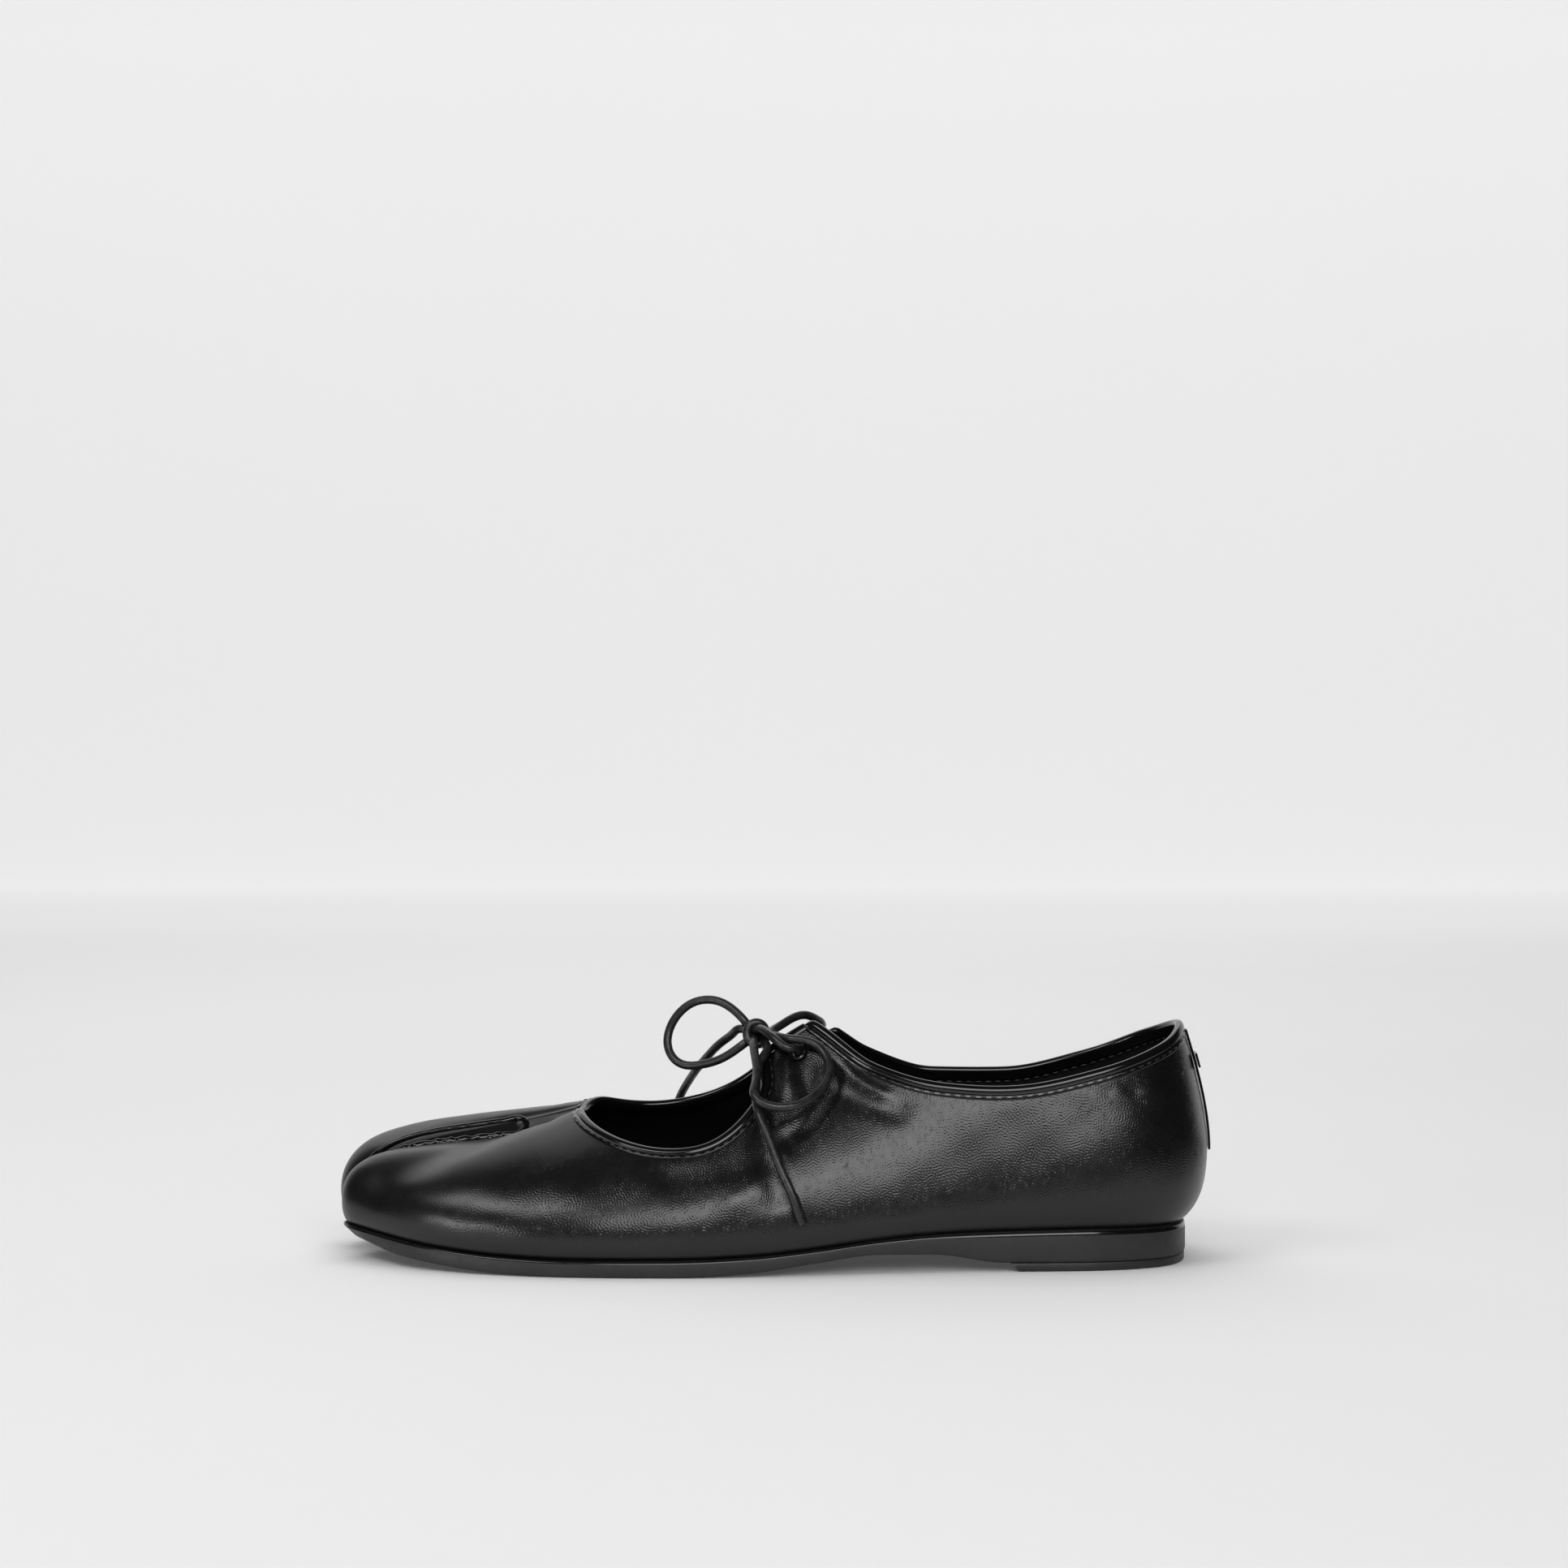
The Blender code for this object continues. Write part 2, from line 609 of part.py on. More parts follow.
def upper_rests(bindings):
    """Places that a lace may lie on, with their outward directions and how far off its middle must stay."""
    radius = LACE_DIAMETER / 2 + GAP + LACE_CHORD_ROOM
    girth = np.linspace(0, GIRTH[-1], 700)
    top = top_share(girth)
    rows = np.linspace(0, 1, 50)
    places = [surface(girth, top * row) for row in rows]
    outward = [normal_at(girth, top * row) for row in rows]
    reach = [np.full(len(girth), radius) for _ in rows]
    for path, normal in bindings:
        places.append(path)
        outward.append(normal)
        reach.append(np.full(len(path), radius + BINDING_DIAMETER / 2))
    return np.concatenate(places), np.concatenate(outward), np.concatenate(reach)


def rest_outside(points, rests):
    """Points of a lace moved outward where they would come too near to the upper or its bindings."""
    places, outward, reach = rests
    points = points.copy()
    for _ in range(4):
        points[1:-1] = (points[:-2] + 2 * points[1:-1] + points[2:]) / 4
        for i, point in enumerate(points):
            away = point - places
            height = np.einsum("ij,ij->i", away, outward)
            beside = np.linalg.norm(away - outward * height[:, None], axis=1)
            dome = np.sqrt(np.maximum(reach**2 - beside**2, 0))
            short = np.where((beside < reach) & (height > -2 * reach), dome - height, 0)
            worst = int(np.argmax(short))
            points[i] += outward[worst] * short[worst]
    return points


def clear_of_knot(points):
    """The run of points that stays clear of the knot."""
    share = (points - np.array(KNOT)) / (np.array(KNOT_RADII) + KNOT_CLEARANCE)
    return points[np.linalg.norm(share, axis=1) > 1]


def eyelet_place(eyelet):
    """An eyelet's centre on the upper's outer face, and the outward direction there."""
    girth = girth_of(eyelet.section, eyelet.side)
    share = share_at_height(girth, eyelet.height)
    return surface(girth, share)[0], normal_at(girth, share)[0]


# The pieces


def eyelet_cutter(eyelet):
    """A hidden cylinder that cuts an eyelet's hole."""
    centre, normal = eyelet_place(eyelet)
    bm = bmesh.new()
    radius = (EYELET_BARREL + GAP) * MM
    bmesh.ops.create_cone(
        bm, cap_ends=True, segments=EYELET_STEPS, radius1=radius, radius2=radius, depth=5 * WALL * MM
    )
    mesh = bpy.data.meshes.new(eyelet.name + "_hole")
    bm.to_mesh(mesh)
    bm.free()
    cutter = bpy.data.objects.new(mesh.name, mesh)
    bpy.context.collection.objects.link(cutter)
    cutter.location = centre * MM
    cutter.rotation_euler = Vector(normal).to_track_quat("Z", "Y").to_euler()
    cutter.hide_render = True
    cutter.display_type = "WIRE"
    return cutter


def build_upper(material):
    upper = mesh_object("upper", grid_sheet(upper_grid()), material)
    thicken(upper, WALL, -1)
    for eyelet in EYELETS:
        hole = upper.modifiers.new(eyelet.name, "BOOLEAN")
        hole.object = eyelet_cutter(eyelet)
    return upper


def plan_outline(offset, notch_half, notch_x):
    """The feather line moved outward by an offset, with the notch of the cleft, in plan."""
    girth = girth_columns()
    line = feather_at(girth) - inward_at(girth) * offset
    beside = np.abs(line[:, 1] - CLEFT_MIDDLE_Y) < notch_half + 2 * GAP
    line = line[~(beside & (line[:, 0] < CLEFT_NOTCH_X)), :2]
    angles = np.linspace(-math.pi / 2, math.pi / 2, 5)
    notch = [(line[-1, 0] + notch_half, CLEFT_MIDDLE_Y + notch_half)]
    notch += [(notch_x + notch_half * math.cos(a), CLEFT_MIDDLE_Y - notch_half * math.sin(a)) for a in angles]
    notch += [(line[0, 0] + notch_half, CLEFT_MIDDLE_Y - notch_half)]
    return np.concatenate([line, notch])


def bent_slab(name, outline, heights, edge_round, material):
    """A slab with a plan outline, bent to the top and bottom heights along the shoe."""
    bm = bmesh.new()
    bm.faces.new([bm.verts.new((x * MM, y * MM, 0)) for x, y in outline])
    first, last = outline[:, 0].min() + SOLE_STATION_INSET, outline[:, 0].max() - SOLE_STATION_INSET
    for x in np.arange(first, last, SOLE_STATION_STEP):
        everything = bm.verts[:] + bm.edges[:] + bm.faces[:]
        bmesh.ops.bisect_plane(bm, geom=everything, dist=1e-6, plane_co=(x * MM, 0, 0), plane_no=(1, 0, 0))
    for face in bm.faces:
        face.normal_update()
    bmesh.ops.reverse_faces(bm, faces=[face for face in bm.faces if face.normal.z > 0])
    thickness = 5 * MM
    rim = [edge for edge in bm.edges if edge.is_boundary]
    extruded = bmesh.ops.extrude_face_region(bm, geom=bm.faces[:], use_keep_orig=True)
    top = [item for item in extruded["geom"] if isinstance(item, bmesh.types.BMVert)]
    bmesh.ops.translate(bm, verts=top, vec=(0, 0, thickness))
    bmesh.ops.recalc_face_normals(bm, faces=bm.faces)
    if edge_round:
        bmesh.ops.bevel(
            bm, geom=rim, offset=edge_round * MM, segments=2, profile=0.5, affect="EDGES", material=-1
        )
    for vertex in bm.verts:
        high, low = heights(vertex.co.x / MM)
        vertex.co.z = (low + (high - low) * vertex.co.z / thickness) * MM
    return mesh_object(name, bm, material)


def build_outsole(material):
    outline = plan_outline(SOLE_LIP, CLEFT_HALF_GAP - GAP, CLEFT_NOTCH_X)
    return bent_slab("outsole", outline, lambda x: sole_heights(x)[:, 0], SOLE_EDGE_ROUND, material)


def build_insole(material):
    beside = WALL + INSOLE_CLEARANCE
    notch_x = CLEFT_NOTCH_X + INSOLE_THICKNESS + WALL + beside
    outline = plan_outline(-beside, CLEFT_HALF_GAP + beside, notch_x)

    def heights(x):
        bottom = sole_heights(x)[0, 0] + GAP
        return bottom + INSOLE_THICKNESS, bottom

    return bent_slab("insole", outline, heights, 0, material)


def build_heel_lift(material):
    """The top piece under the heel, whose front face slants forward as it rises."""
    outline = plan_outline(SOLE_LIP - GAP, CLEFT_HALF_GAP, CLEFT_NOTCH_X)
    heel = outline[outline[:, 0] > HEEL_LIFT_FRONT]
    corners = [(HEEL_LIFT_FRONT, y) for y in (heel[-1, 1], heel[0, 1])]
    outline = np.concatenate([heel, corners])
    lift = bent_slab("heel_lift", outline, lambda x: (HEEL_LIFT_THICKNESS, 0), SOLE_EDGE_ROUND / 2, material)
    for vertex in lift.data.vertices:
        if vertex.co.x < (HEEL_LIFT_FRONT + SOLE_EDGE_ROUND) * MM:
            vertex.co.x -= HEEL_BREAST_SLANT * vertex.co.z / HEEL_LIFT_THICKNESS
    return lift


def build_bindings(material):
    """Round bindings on the collar's edge, and on the throat's edge with the tabs' front edges."""
    at = COLLAR_NODES[0]
    girth = np.linspace(at[0], at[-1], 300)
    collar = edge_tube_path(girth, top_share(girth), BINDING_POINT_STEP, 1)
    tube("collar_binding", collar[0], BINDING_DIAMETER, material, sides=1)
    corner, foot = tab_front_girths("lat")
    lateral = np.concatenate([np.linspace(corner, foot, 40), np.linspace(foot, 0, 160)[1:]])
    corner, foot = tab_front_girths("med")
    medial = np.concatenate([np.linspace(GIRTH[-1], foot, 160), np.linspace(foot, corner, 40)[1:]])
    girth = np.concatenate([lateral, medial])
    throat = edge_tube_path(girth, top_share(girth), BINDING_POINT_STEP, -1)
    tube("throat_binding", throat[0], BINDING_DIAMETER, material, sides=1)
    return collar, throat


def build_toe_split_welt(material):
    """The folded rim on both sides of the cleft, round its rear end."""
    clear = WELT_DIAMETER / 2 + 3 * GAP
    sides = []
    for girth in (WELT_FROM_RIM, GIRTH[-1] - WELT_FROM_RIM):
        share = np.linspace(WELT_LOWEST_SHARE, 1, 80)
        place = np.full(len(share), girth)
        points = surface(place, share)
        ahead = points[:, 0] < CLEFT_REAR_X
        sides.append((points + normal_at(place, share) * clear)[ahead])
    lateral, medial = sides
    turn = (lateral[-1] + medial[-1]) / 2 + np.array(WELT_TURN)
    path = smooth_route(np.concatenate([lateral[::6], lateral[-1:], [turn], medial[::-6]]), WELT_POINT_STEP)
    tube("toe_split_welt", path, WELT_DIAMETER, material, sides=1)


def back_patch(name, half_width, heights, proud, thickness, material):
    """A strip over the back seam, cut from the upper's own face and set outward."""
    middle = girth_of(0, "lat")
    girth = np.linspace(middle - half_width, middle + half_width, 5)
    low, high = (share_at_height(girth, height) for height in heights)
    rows = []
    for t in np.linspace(0, 1, 7):
        share = low + (high - low) * t
        rows.append(surface(girth, share) + normal_at(girth, share) * proud)
    patch = mesh_object(name, grid_sheet(np.stack(rows, axis=1)), material)
    thicken(patch, thickness, 1)
    return patch


def build_heel_tab(material):
    top = COLLAR_EDGE[0].lat_z - GAP
    bottom = LATERAL_RIBS[0].z
    back_patch("heel_tab", HEEL_TAB_HALF_WIDTH, (bottom, top), GAP, HEEL_TAB_THICKNESS, material)
    proud = HEEL_TAB_THICKNESS + 2 * GAP
    back_patch("heel_tab_bar", HEEL_BAR_HALF_WIDTH, HEEL_BAR_HEIGHTS, proud, HEEL_BAR_THICKNESS, material)


def build_eyelet(eyelet, material):
    """A turned eyelet: a barrel through the leather and a flange outside it."""
    inside, under = -WALL - GAP, GAP + EYELET_ROUND / 2
    profile = [
        (EYELET_BORE, inside),
        (EYELET_BARREL, inside),
        (EYELET_BARREL, under),
        (EYELET_FLANGE, under),
        (EYELET_FLANGE - EYELET_ROUND, EYELET_PROUD - EYELET_ROUND / 2),
        (EYELET_BARREL, EYELET_PROUD),
        (EYELET_BORE, EYELET_PROUD - EYELET_ROUND),
    ]
    bm = bmesh.new()
    ring = [bm.verts.new((radius * MM, 0, height * MM)) for radius, height in profile]
    edges = [bm.edges.new((a, b)) for a, b in zip(ring, ring[1:] + ring[:1])]
    bmesh.ops.spin(
        bm,
        geom=ring + edges,
        cent=(0, 0, 0),
        axis=(0, 0, 1),
        angle=2 * math.pi,
        steps=EYELET_STEPS,
        use_merge=True,
    )
    bmesh.ops.recalc_face_normals(bm, faces=bm.faces)
    item = mesh_object(eyelet.name, bm, material)
    centre, normal = eyelet_place(eyelet)
    item.location = centre * MM
    item.rotation_euler = Vector(normal).to_track_quat("Z", "Y").to_euler()
    return item


def build_lace(rests, material):
    """The bars from the eyelets, the knot, and the loops and the tipped ends that leave it."""
    bm = bmesh.new()
    bmesh.ops.create_uvsphere(bm, u_segments=16, v_segments=10, radius=1)
    bmesh.ops.scale(bm, verts=bm.verts, vec=Vector(KNOT_RADII) * MM)
    knot = mesh_object("lace_knot", bm, material)
    knot.location = Vector(KNOT) * MM
    for name, eyelet in zip(("lace_bar_lateral", "lace_bar_medial"), EYELETS):
        centre, normal = eyelet_place(eyelet)
        through = [centre + normal * height for height in BAR_HEIGHTS]
        fine = clear_of_knot(smooth_route(through + BAR_ROUTES[name] + [KNOT], LACE_FINE_STEP))
        tube(name, even_points(fine, BAR_POINT_STEP), LACE_DIAMETER, material)
    for name, route in LOOP_ROUTES.items():
        fine = smooth_route([KNOT] + route + [KNOT], LACE_FINE_STEP)
        fine = clear_of_knot(rest_outside(fine, rests))
        tube(name, even_points(fine, LACE_POINT_STEP), LACE_DIAMETER, material)
    for name, route in END_ROUTES.items():
        fine = clear_of_knot(rest_outside(smooth_route([KNOT] + route, LACE_FINE_STEP), rests))
        tip_start = polyline_length(fine)[-1] - LACE_TIP_LENGTH
        end = even_points(fine, LACE_POINT_STEP, short=LACE_TIP_LENGTH + 1.5 * GAP)
        tip = even_points(fine, LACE_TIP_LENGTH / 2, start=tip_start)
        tube(f"lace_end_{name}", end, LACE_DIAMETER, material)
        tube(f"lace_tip_{name}", tip, LACE_DIAMETER, material)


def main():
    clear_scene()
    leather = finish("black_leather", (0.012, 0.012, 0.013), 0.32)
    sole = finish("sole_rubber", (0.02, 0.02, 0.021), 0.6)
    sock = finish("insole_leather", (0.03, 0.03, 0.03), 0.55)
    cord = finish("lace_leather", (0.025, 0.025, 0.027), 0.4)
    metal = finish("eyelet_metal", (0.02, 0.02, 0.02), 0.2, metallic=1.0)
    build_outsole(sole)
    build_heel_lift(sole)
    build_insole(sock)
    build_upper(leather)
    bindings = build_bindings(leather)
    build_toe_split_welt(leather)
    build_heel_tab(leather)
    for eyelet in EYELETS:
        build_eyelet(eyelet, metal)
    build_lace(upper_rests(bindings), cord)


main()
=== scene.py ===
"""The looks of a left split-toe flat: glossy leather, bindings, stitching, sole and a tied lace.

Sizes are in millimetres unless a name says otherwise, in the shoe's own frame: +X to the heel, +Y to the
inner side, +Z up.
"""

import logging
import math
from dataclasses import dataclass
from enum import Enum
from typing import Callable, NamedTuple, Optional, Sequence

import bmesh
import bpy
import numpy as np
from mathutils import Matrix, Vector


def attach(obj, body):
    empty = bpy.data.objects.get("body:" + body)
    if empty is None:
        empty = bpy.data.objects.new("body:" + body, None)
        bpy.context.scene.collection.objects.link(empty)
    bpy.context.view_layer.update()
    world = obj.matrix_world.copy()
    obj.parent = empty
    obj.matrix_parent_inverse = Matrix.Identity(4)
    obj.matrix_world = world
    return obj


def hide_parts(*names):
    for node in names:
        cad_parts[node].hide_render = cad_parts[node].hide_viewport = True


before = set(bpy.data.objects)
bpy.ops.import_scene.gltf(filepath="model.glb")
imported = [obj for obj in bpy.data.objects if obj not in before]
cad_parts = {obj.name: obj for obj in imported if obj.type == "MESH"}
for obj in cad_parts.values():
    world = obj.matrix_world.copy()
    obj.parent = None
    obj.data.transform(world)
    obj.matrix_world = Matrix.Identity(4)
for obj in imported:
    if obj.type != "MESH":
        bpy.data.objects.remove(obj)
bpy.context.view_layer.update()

LOG = logging.getLogger("split_toe_flat")
MM = 0.001
JOIN_M = 1e-7
CUT_M = 1e-6
SMALLEST = 1e-9
Array = np.ndarray
Mesh = bmesh.types.BMesh
Colour = tuple[float, float, float]
Pairs = tuple[tuple[float, float], ...]
Socket = bpy.types.NodeSocket
Material = bpy.types.Material


class Side(Enum):
    """The two sides of the shoe."""

    LATERAL = "lat"
    MEDIAL = "med"


class Slot(Enum):
    """The record's material slots."""

    LEATHER = "black_leather"
    SOLE = "sole_rubber"
    SOCK = "insole_leather"
    LACE = "lace_leather"
    EYELET = "eyelet_metal"


# Curves through table rows


def spline_slopes(at: Array, values: Array) -> Array:
    """Slopes of the natural cubic spline.

    Args:
        at: Places of the rows, rising.
        values: One row of values for each place.

    Returns:
        A slope for each value.
    """
    n = len(at)
    step = np.diff(at)
    matrix = np.zeros((n, n))
    right = np.zeros((n, values.shape[1]))
    rise = np.diff(values, axis=0) / step[:, None]
    matrix[0, :2] = 2, 1
    matrix[-1, -2:] = 1, 2
    right[0], right[-1] = 3 * rise[0], 3 * rise[-1]
    for i in range(1, n - 1):
        matrix[i, i - 1 : i + 2] = step[i], 2 * (step[i - 1] + step[i]), step[i - 1]
        right[i] = 3 * (step[i] * rise[i - 1] + step[i - 1] * rise[i])
    return np.linalg.solve(matrix, right)


def monotone_slopes(at: Array, values: Array) -> Array:
    """Slopes that keep a curve between its rows.

    Args:
        at: Places of the rows, rising.
        values: One row of values for each place.

    Returns:
        A slope for each value.
    """
    rise = np.diff(values, axis=0) / np.diff(at)[:, None]
    slopes = np.concatenate([rise[:1], np.zeros((len(at) - 2, values.shape[1])), rise[-1:]])
    for i in range(1, len(at) - 1):
        same = rise[i - 1] * rise[i] > 0
        total = np.where(same, rise[i - 1] + rise[i], 1)
        slopes[i] = np.where(same, 2 * rise[i - 1] * rise[i] / total, 0)
    return slopes


def hermite(at: Array, values: Array, slopes: Array, where: Array) -> Array:
    """The cubic through values with slopes.

    Args:
        at: Places of the rows.
        values: The rows.
        slopes: The rows' slopes.
        where: Places to read.

    Returns:
        One row for each place read.
    """
    where = np.atleast_1d(np.asarray(where, float))
    i = np.clip(np.searchsorted(at, where) - 1, 0, len(at) - 2)
    step = (at[i + 1] - at[i])[:, None]
    t = (where - at[i])[:, None] / step
    return (
        values[i] * (1 + 2 * t) * (1 - t) ** 2
        + slopes[i] * step * t * (1 - t) ** 2
        + values[i + 1] * t**2 * (3 - 2 * t)
        + slopes[i + 1] * step * t**2 * (t - 1)
    )


def bezier(points: Sequence[Array], t: Array) -> Array:
    """Cubic curves.

    Args:
        points: Four arrays of control points, a row for each curve.
        t: One parameter, or one for each curve.

    Returns:
        A point on each curve.
    """
    a, b, c, d = points
    t = np.broadcast_to(t, len(a))[:, None]
    return a * (1 - t) ** 3 + 3 * b * t * (1 - t) ** 2 + 3 * c * t**2 * (1 - t) + d * t**3


def smooth_step(t: Array) -> Array:
    """A soft rise from 0 to 1."""
    t = np.clip(t, 0, 1)
    return t * t * (3 - 2 * t)


def unit(vectors: Array) -> Array:
    """Rows scaled to length one."""
    return vectors / np.linalg.norm(vectors, axis=-1, keepdims=True)


def run_length(points: Array) -> Array:
    """Length along a run of points, up to each of them."""
    return np.concatenate([[0], np.cumsum(np.linalg.norm(np.diff(points, axis=0), axis=1))])


def spread(rows: Array, count: int) -> Array:
    """Rows spread evenly along the run of their points.

    Args:
        rows: Points, with any further values that each carries.
        count: How many rows to make.

    Returns:
        The new rows.
    """
    length = run_length(rows[:, :3])
    even = np.linspace(0, length[-1], count)
    return np.stack([np.interp(even, length, rows[:, k]) for k in range(rows.shape[1])], axis=1)


def even_run(points: Array, step: float) -> Array:
    """The same run with points about a step apart."""
    whole = run_length(points)[-1]
    return spread(points, max(int(round(whole / step)), 1) + 1)


def smooth_route(points: Sequence[Sequence[float]], step: float) -> Array:
    """Even points on a smooth curve.

    Args:
        points: The route's own points.
        step: Distance between the points returned.

    Returns:
        Points along the curve.
    """
    rows = np.asarray(points, float)
    at = run_length(rows)
    fine_count = 60 * len(rows)
    fine = hermite(at, rows, spline_slopes(at, rows), np.linspace(0, at[-1], fine_count))
    return even_run(fine, step)


# Meshes


def grid_sheet(points: Array) -> Mesh:
    """A sheet from a grid of points.

    Args:
        points: Columns, rows and xyz, in millimetres. Edge columns that coincide are joined.

    Returns:
        A new bmesh in metres.
    """
    columns, rows = points.shape[:2]
    bm = bmesh.new()
    made = bmesh.ops.create_grid(bm, x_segments=columns - 1, y_segments=rows - 1, size=1)
    for vertex, place in zip(made["verts"], points.transpose(1, 0, 2).reshape(-1, 3) * MM):
        vertex.co = place
    bmesh.ops.remove_doubles(bm, verts=bm.verts, dist=JOIN_M)
    return bm


def swept(path: Array, out: Array, away: Array, profile: Array, swell: Optional[Array] = None) -> Mesh:
    """A closed profile carried along a path, with its ends filled.

    Args:
        path: Points of the path.
        out: The profile's first direction at each point.
        away: The profile's second direction at each point.
        profile: Rows of distances along the two directions, round the profile.
        swell: A factor for each point of the path and each row of the profile.

    Returns:
        A closed bmesh.
    """
    scale = np.ones((len(path), len(profile))) if swell is None else swell
    reach = profile[None] * scale[..., None]
    reach = np.concatenate([reach, reach[:, :1]], axis=1)
    points = path[:, None] + out[:, None] * reach[..., :1] + away[:, None] * reach[..., 1:]
    bm = grid_sheet(points)
    bmesh.ops.holes_fill(bm, edges=[edge for edge in bm.edges if edge.is_boundary], sides=0)
    bmesh.ops.recalc_face_normals(bm, faces=bm.faces)
    return bm


def rounded(profile: Pairs) -> Array:
    """A closed profile with its corners cut once, a quarter along each side.

    Args:
        profile: The profile's corners.

    Returns:
        Two points for each corner.
    """
    points = np.array(profile)
    side = np.roll(points, -1, axis=0) - points
    return np.stack([points + side / 4, points + side * 3 / 4], axis=1).reshape(-1, 2)


def ring(radius_out: float, radius_away: float, count: int) -> Array:
    """An oval profile with a number of points."""
    angle = np.linspace(0, 2 * math.pi, count, endpoint=False)
    return np.stack([radius_out * np.cos(angle), radius_away * np.sin(angle)], axis=1)


def path_frames(path: Array) -> tuple[Array, Array]:
    """Two directions square to a path that turn as little as they can.

    Args:
        path: Points of the path.

    Returns:
        The two directions at each point.
    """
    along = unit(np.gradient(path, axis=0))
    frames = [unit(np.cross(along[0], (0.0, 0.0, 1.0)))]
    for direction in along[1:]:
        frames.append(unit(frames[-1] - direction * np.dot(frames[-1], direction)))
    out = np.array(frames)
    return out, np.cross(along, out)


class Bench:
    """Turns meshes and curves into pieces of the shoe."""

    @staticmethod
    def piece(name: str, data: bpy.types.ID, finishes: Sequence[Material], slot: Slot,
              nodes: Sequence[str] = ()) -> bpy.types.Object:
        """Link a piece, dress it and join it to the shoe.

        Args:
            name: The piece's name.
            data: Its mesh or curve.
            finishes: Its materials.
            slot: Not used.
            nodes: The solids that it stands for.

        Returns:
            The new object.
        """
        item = bpy.data.objects.new(name, data)
        bpy.context.collection.objects.link(item)
        for material in finishes:
            data.materials.append(material)
        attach(item, "root")
        if nodes:
            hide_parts(*nodes)
        LOG.info("piece %s", name)
        return item

    @classmethod
    def mesh(cls, name: str, bm: Mesh, finishes: Sequence[Material], slot: Slot,
             nodes: Sequence[str] = (), sharp: float = 60.0) -> bpy.types.Object:
        """A piece from a bmesh, smooth between its sharp edges.

        Args:
            name: The piece's name.
            bm: The shape, which is used up.
            finishes: Its materials.
            slot: Not used, only passed on.
            nodes: The solids that it stands for.
            sharp: Angle in degrees past which an edge stays sharp.

        Returns:
            The new object.
        """
        mesh = bpy.data.meshes.new(name)
        bm.to_mesh(mesh)
        bm.free()
        mesh.shade_smooth()
        mesh.set_sharp_from_angle(angle=math.radians(sharp))
        return cls.piece(name, mesh, finishes, slot, nodes)


# Finishes


class Noise(NamedTuple):
    """Noise with a scale in waves to a metre."""

    scale: float
    detail: float = 2.0
    rough: float = 0.5


class Nodes:
    """A material's shader nodes, added one at a time."""

    def __init__(self, name: str) -> None:
        """Start from a Principled shader.

        Args:
            name: The material's name.
        """
        self.material = bpy.data.materials.new(name)
        self.material.use_nodes = True
        self.tree = self.material.node_tree
        self.shader = self.tree.nodes["Principled BSDF"]

    def add(self, kind: str, sockets: dict, **settings: object) -> bpy.types.Node:
        """Add a node.

        Args:
            kind: The node's type.
            sockets: Values or sockets to link, by the input's name or number.
            **settings: The node's own options.

        Returns:
            The new node.
        """
        node = self.tree.nodes.new(kind)
        for key, value in settings.items():
            setattr(node, key, value)
        self.feed(node, sockets)
        return node

    def feed(self, node: bpy.types.Node, sockets: dict) -> None:
        """Set or link a node's inputs.

        Args:
            node: The node.
            sockets: Values or sockets to link, by the input's name or number.
        """
        for key, value in sockets.items():
            if isinstance(value, Socket):
                self.tree.links.new(value, node.inputs[key])
            else:
                node.inputs[key].default_value = value

    def math(self, operation: str, a: object, b: object = 0.0) -> Socket:
        """The result of one sum on values or sockets."""
        return self.add("ShaderNodeMath", {0: a, 1: b}, operation=operation).outputs[0]

    def place(self) -> Socket:
        """The piece's own coordinates."""
        return self.add("ShaderNodeTexCoord", {}).outputs["Object"]

    def attribute(self, name: str, output: str) -> Socket:
        """A value that the mesh keeps at its points."""
        return self.add("ShaderNodeAttribute", {}, attribute_name=name).outputs[output]

    def noise(self, noise: Noise) -> Socket:
        """Noise between 0 and 1 over the piece's own coordinates.

        Args:
            noise: Its scale, detail and roughness.

        Returns:
            The noise's value.
        """
        sockets = {"Scale": noise.scale, "Detail": noise.detail, "Roughness": noise.rough}
        sockets["Vector"] = self.place()
        return self.add("ShaderNodeTexNoise", sockets).outputs["Fac"]

    def between(self, fac: object, ends: tuple[float, float]) -> Socket:
        """A value from end to end as fac goes from 0.25 to 0.75."""
        sockets = {"Value": fac, "From Min": 0.25, "From Max": 0.75, "To Min": ends[0], "To Max": ends[1]}
        return self.add("ShaderNodeMapRange", sockets).outputs[0]

    def tint(self, fac: object, dark: Colour, light: Colour) -> None:
        """Base colour between two colours as fac goes from 0.3 to 0.7.

        Args:
            fac: A value or socket.
            dark: The colour up to 0.3.
            light: The colour from 0.7.
        """
        ramp = self.add("ShaderNodeValToRGB", {"Fac": fac})
        for element, colour, position in zip(ramp.color_ramp.elements, (dark, light), (0.3, 0.7)):
            element.position = position
            element.color = (*colour, 1)
        self.feed(self.shader, {"Base Color": ramp.outputs["Color"]})

    def bump(self, height: Socket, depth_mm: float) -> None:
        """Raise the surface by a height, over what is there.

        Args:
            height: The height, about 0 to 1.
            depth_mm: What a height of 1 stands for.
        """
        sockets = {"Height": height, "Distance": depth_mm * MM, "Strength": 1.0}
        existing = self.shader.inputs["Normal"].links
        if existing:
            sockets["Normal"] = existing[0].from_socket
        bump = self.add("ShaderNodeBump", sockets)
        self.feed(self.shader, {"Normal": bump.outputs["Normal"]})


